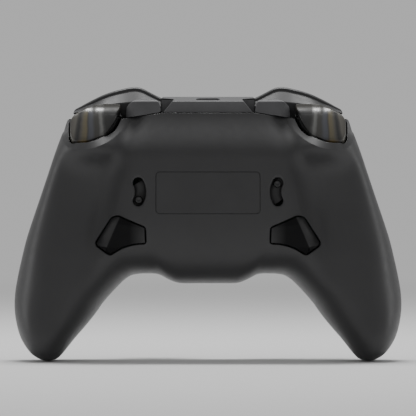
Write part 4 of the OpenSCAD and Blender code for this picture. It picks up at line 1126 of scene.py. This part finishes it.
area("top_softbox", (0.0, 0.22, 0.88), (0, 0, 0.02), (0.5, 0.16), 9.5)
area("left_strip", (-0.92, 0.12, 0.12), (0, 0, 0), (0.25, 0.9), 1.8)
area("right_strip", (0.92, 0.12, 0.12), (0, 0, 0), (0.25, 0.9), 1.8)

# A round floor in widening rings, which fades into the world's tone.
FLOOR_RINGS, FLOOR_STEPS = (0.1, 0.2, 0.4, 0.8, 1.6, 3.2, 6.4, 12.0), 48
floor_z = cad_low[2] - 0.0002
floor_points = [(r * math.cos(a), r * math.sin(a), floor_z)
                for r in FLOOR_RINGS for a in np.linspace(0, 2 * math.pi, FLOOR_STEPS + 1)[:-1]]
floor_faces = [list(range(FLOOR_STEPS))] + ring_faces(len(FLOOR_RINGS), FLOOR_STEPS)
floor_mesh = bpy.data.meshes.new("floor")
floor_mesh.from_pydata(floor_points, [], floor_faces)
floor = bpy.data.objects.new("floor", floor_mesh)
bpy.context.scene.collection.objects.link(floor)
floor_mat, tree, shader = nodes_of("floor_paint", (0.62, 0.62, 0.62), 0.9)
glow = add(tree, "ShaderNodeEmission")
glow.inputs["Color"].default_value = (WORLD_TONE, WORLD_TONE, WORLD_TONE, 1)
fade = add(tree, "ShaderNodeVectorMath", operation="LENGTH")
tree.links.new(add(tree, "ShaderNodeTexCoord").outputs["Object"], fade.inputs[0])
blend = add(tree, "ShaderNodeMixShader")
tree.links.new(ranged(tree, fade.outputs["Value"], 0.0, 1.0, 0.25, 1.6), blend.inputs["Fac"])
tree.links.new(shader.outputs["BSDF"], blend.inputs[1])
tree.links.new(glow.outputs["Emission"], blend.inputs[2])
tree.links.new(blend.outputs["Shader"], tree.nodes["Material Output"].inputs["Surface"])
floor_mesh.materials.append(floor_mat)

# Millimetres of lens and sensor, and metres across the view where the pad stands.
LENS, SENSOR, FRAME_WIDTH = 300.0, 36.0, 0.1664
camera_data = bpy.data.cameras.new("camera")
camera_data.lens, camera_data.sensor_width = LENS, SENSOR
camera = bpy.data.objects.new("camera", camera_data)
distance = FRAME_WIDTH * LENS / SENSOR
camera.location = (0.0, -0.006 - distance, 0.0061)
camera.rotation_euler = (math.radians(90), 0, 0)
bpy.context.scene.collection.objects.link(camera)
bpy.context.scene.camera = camera
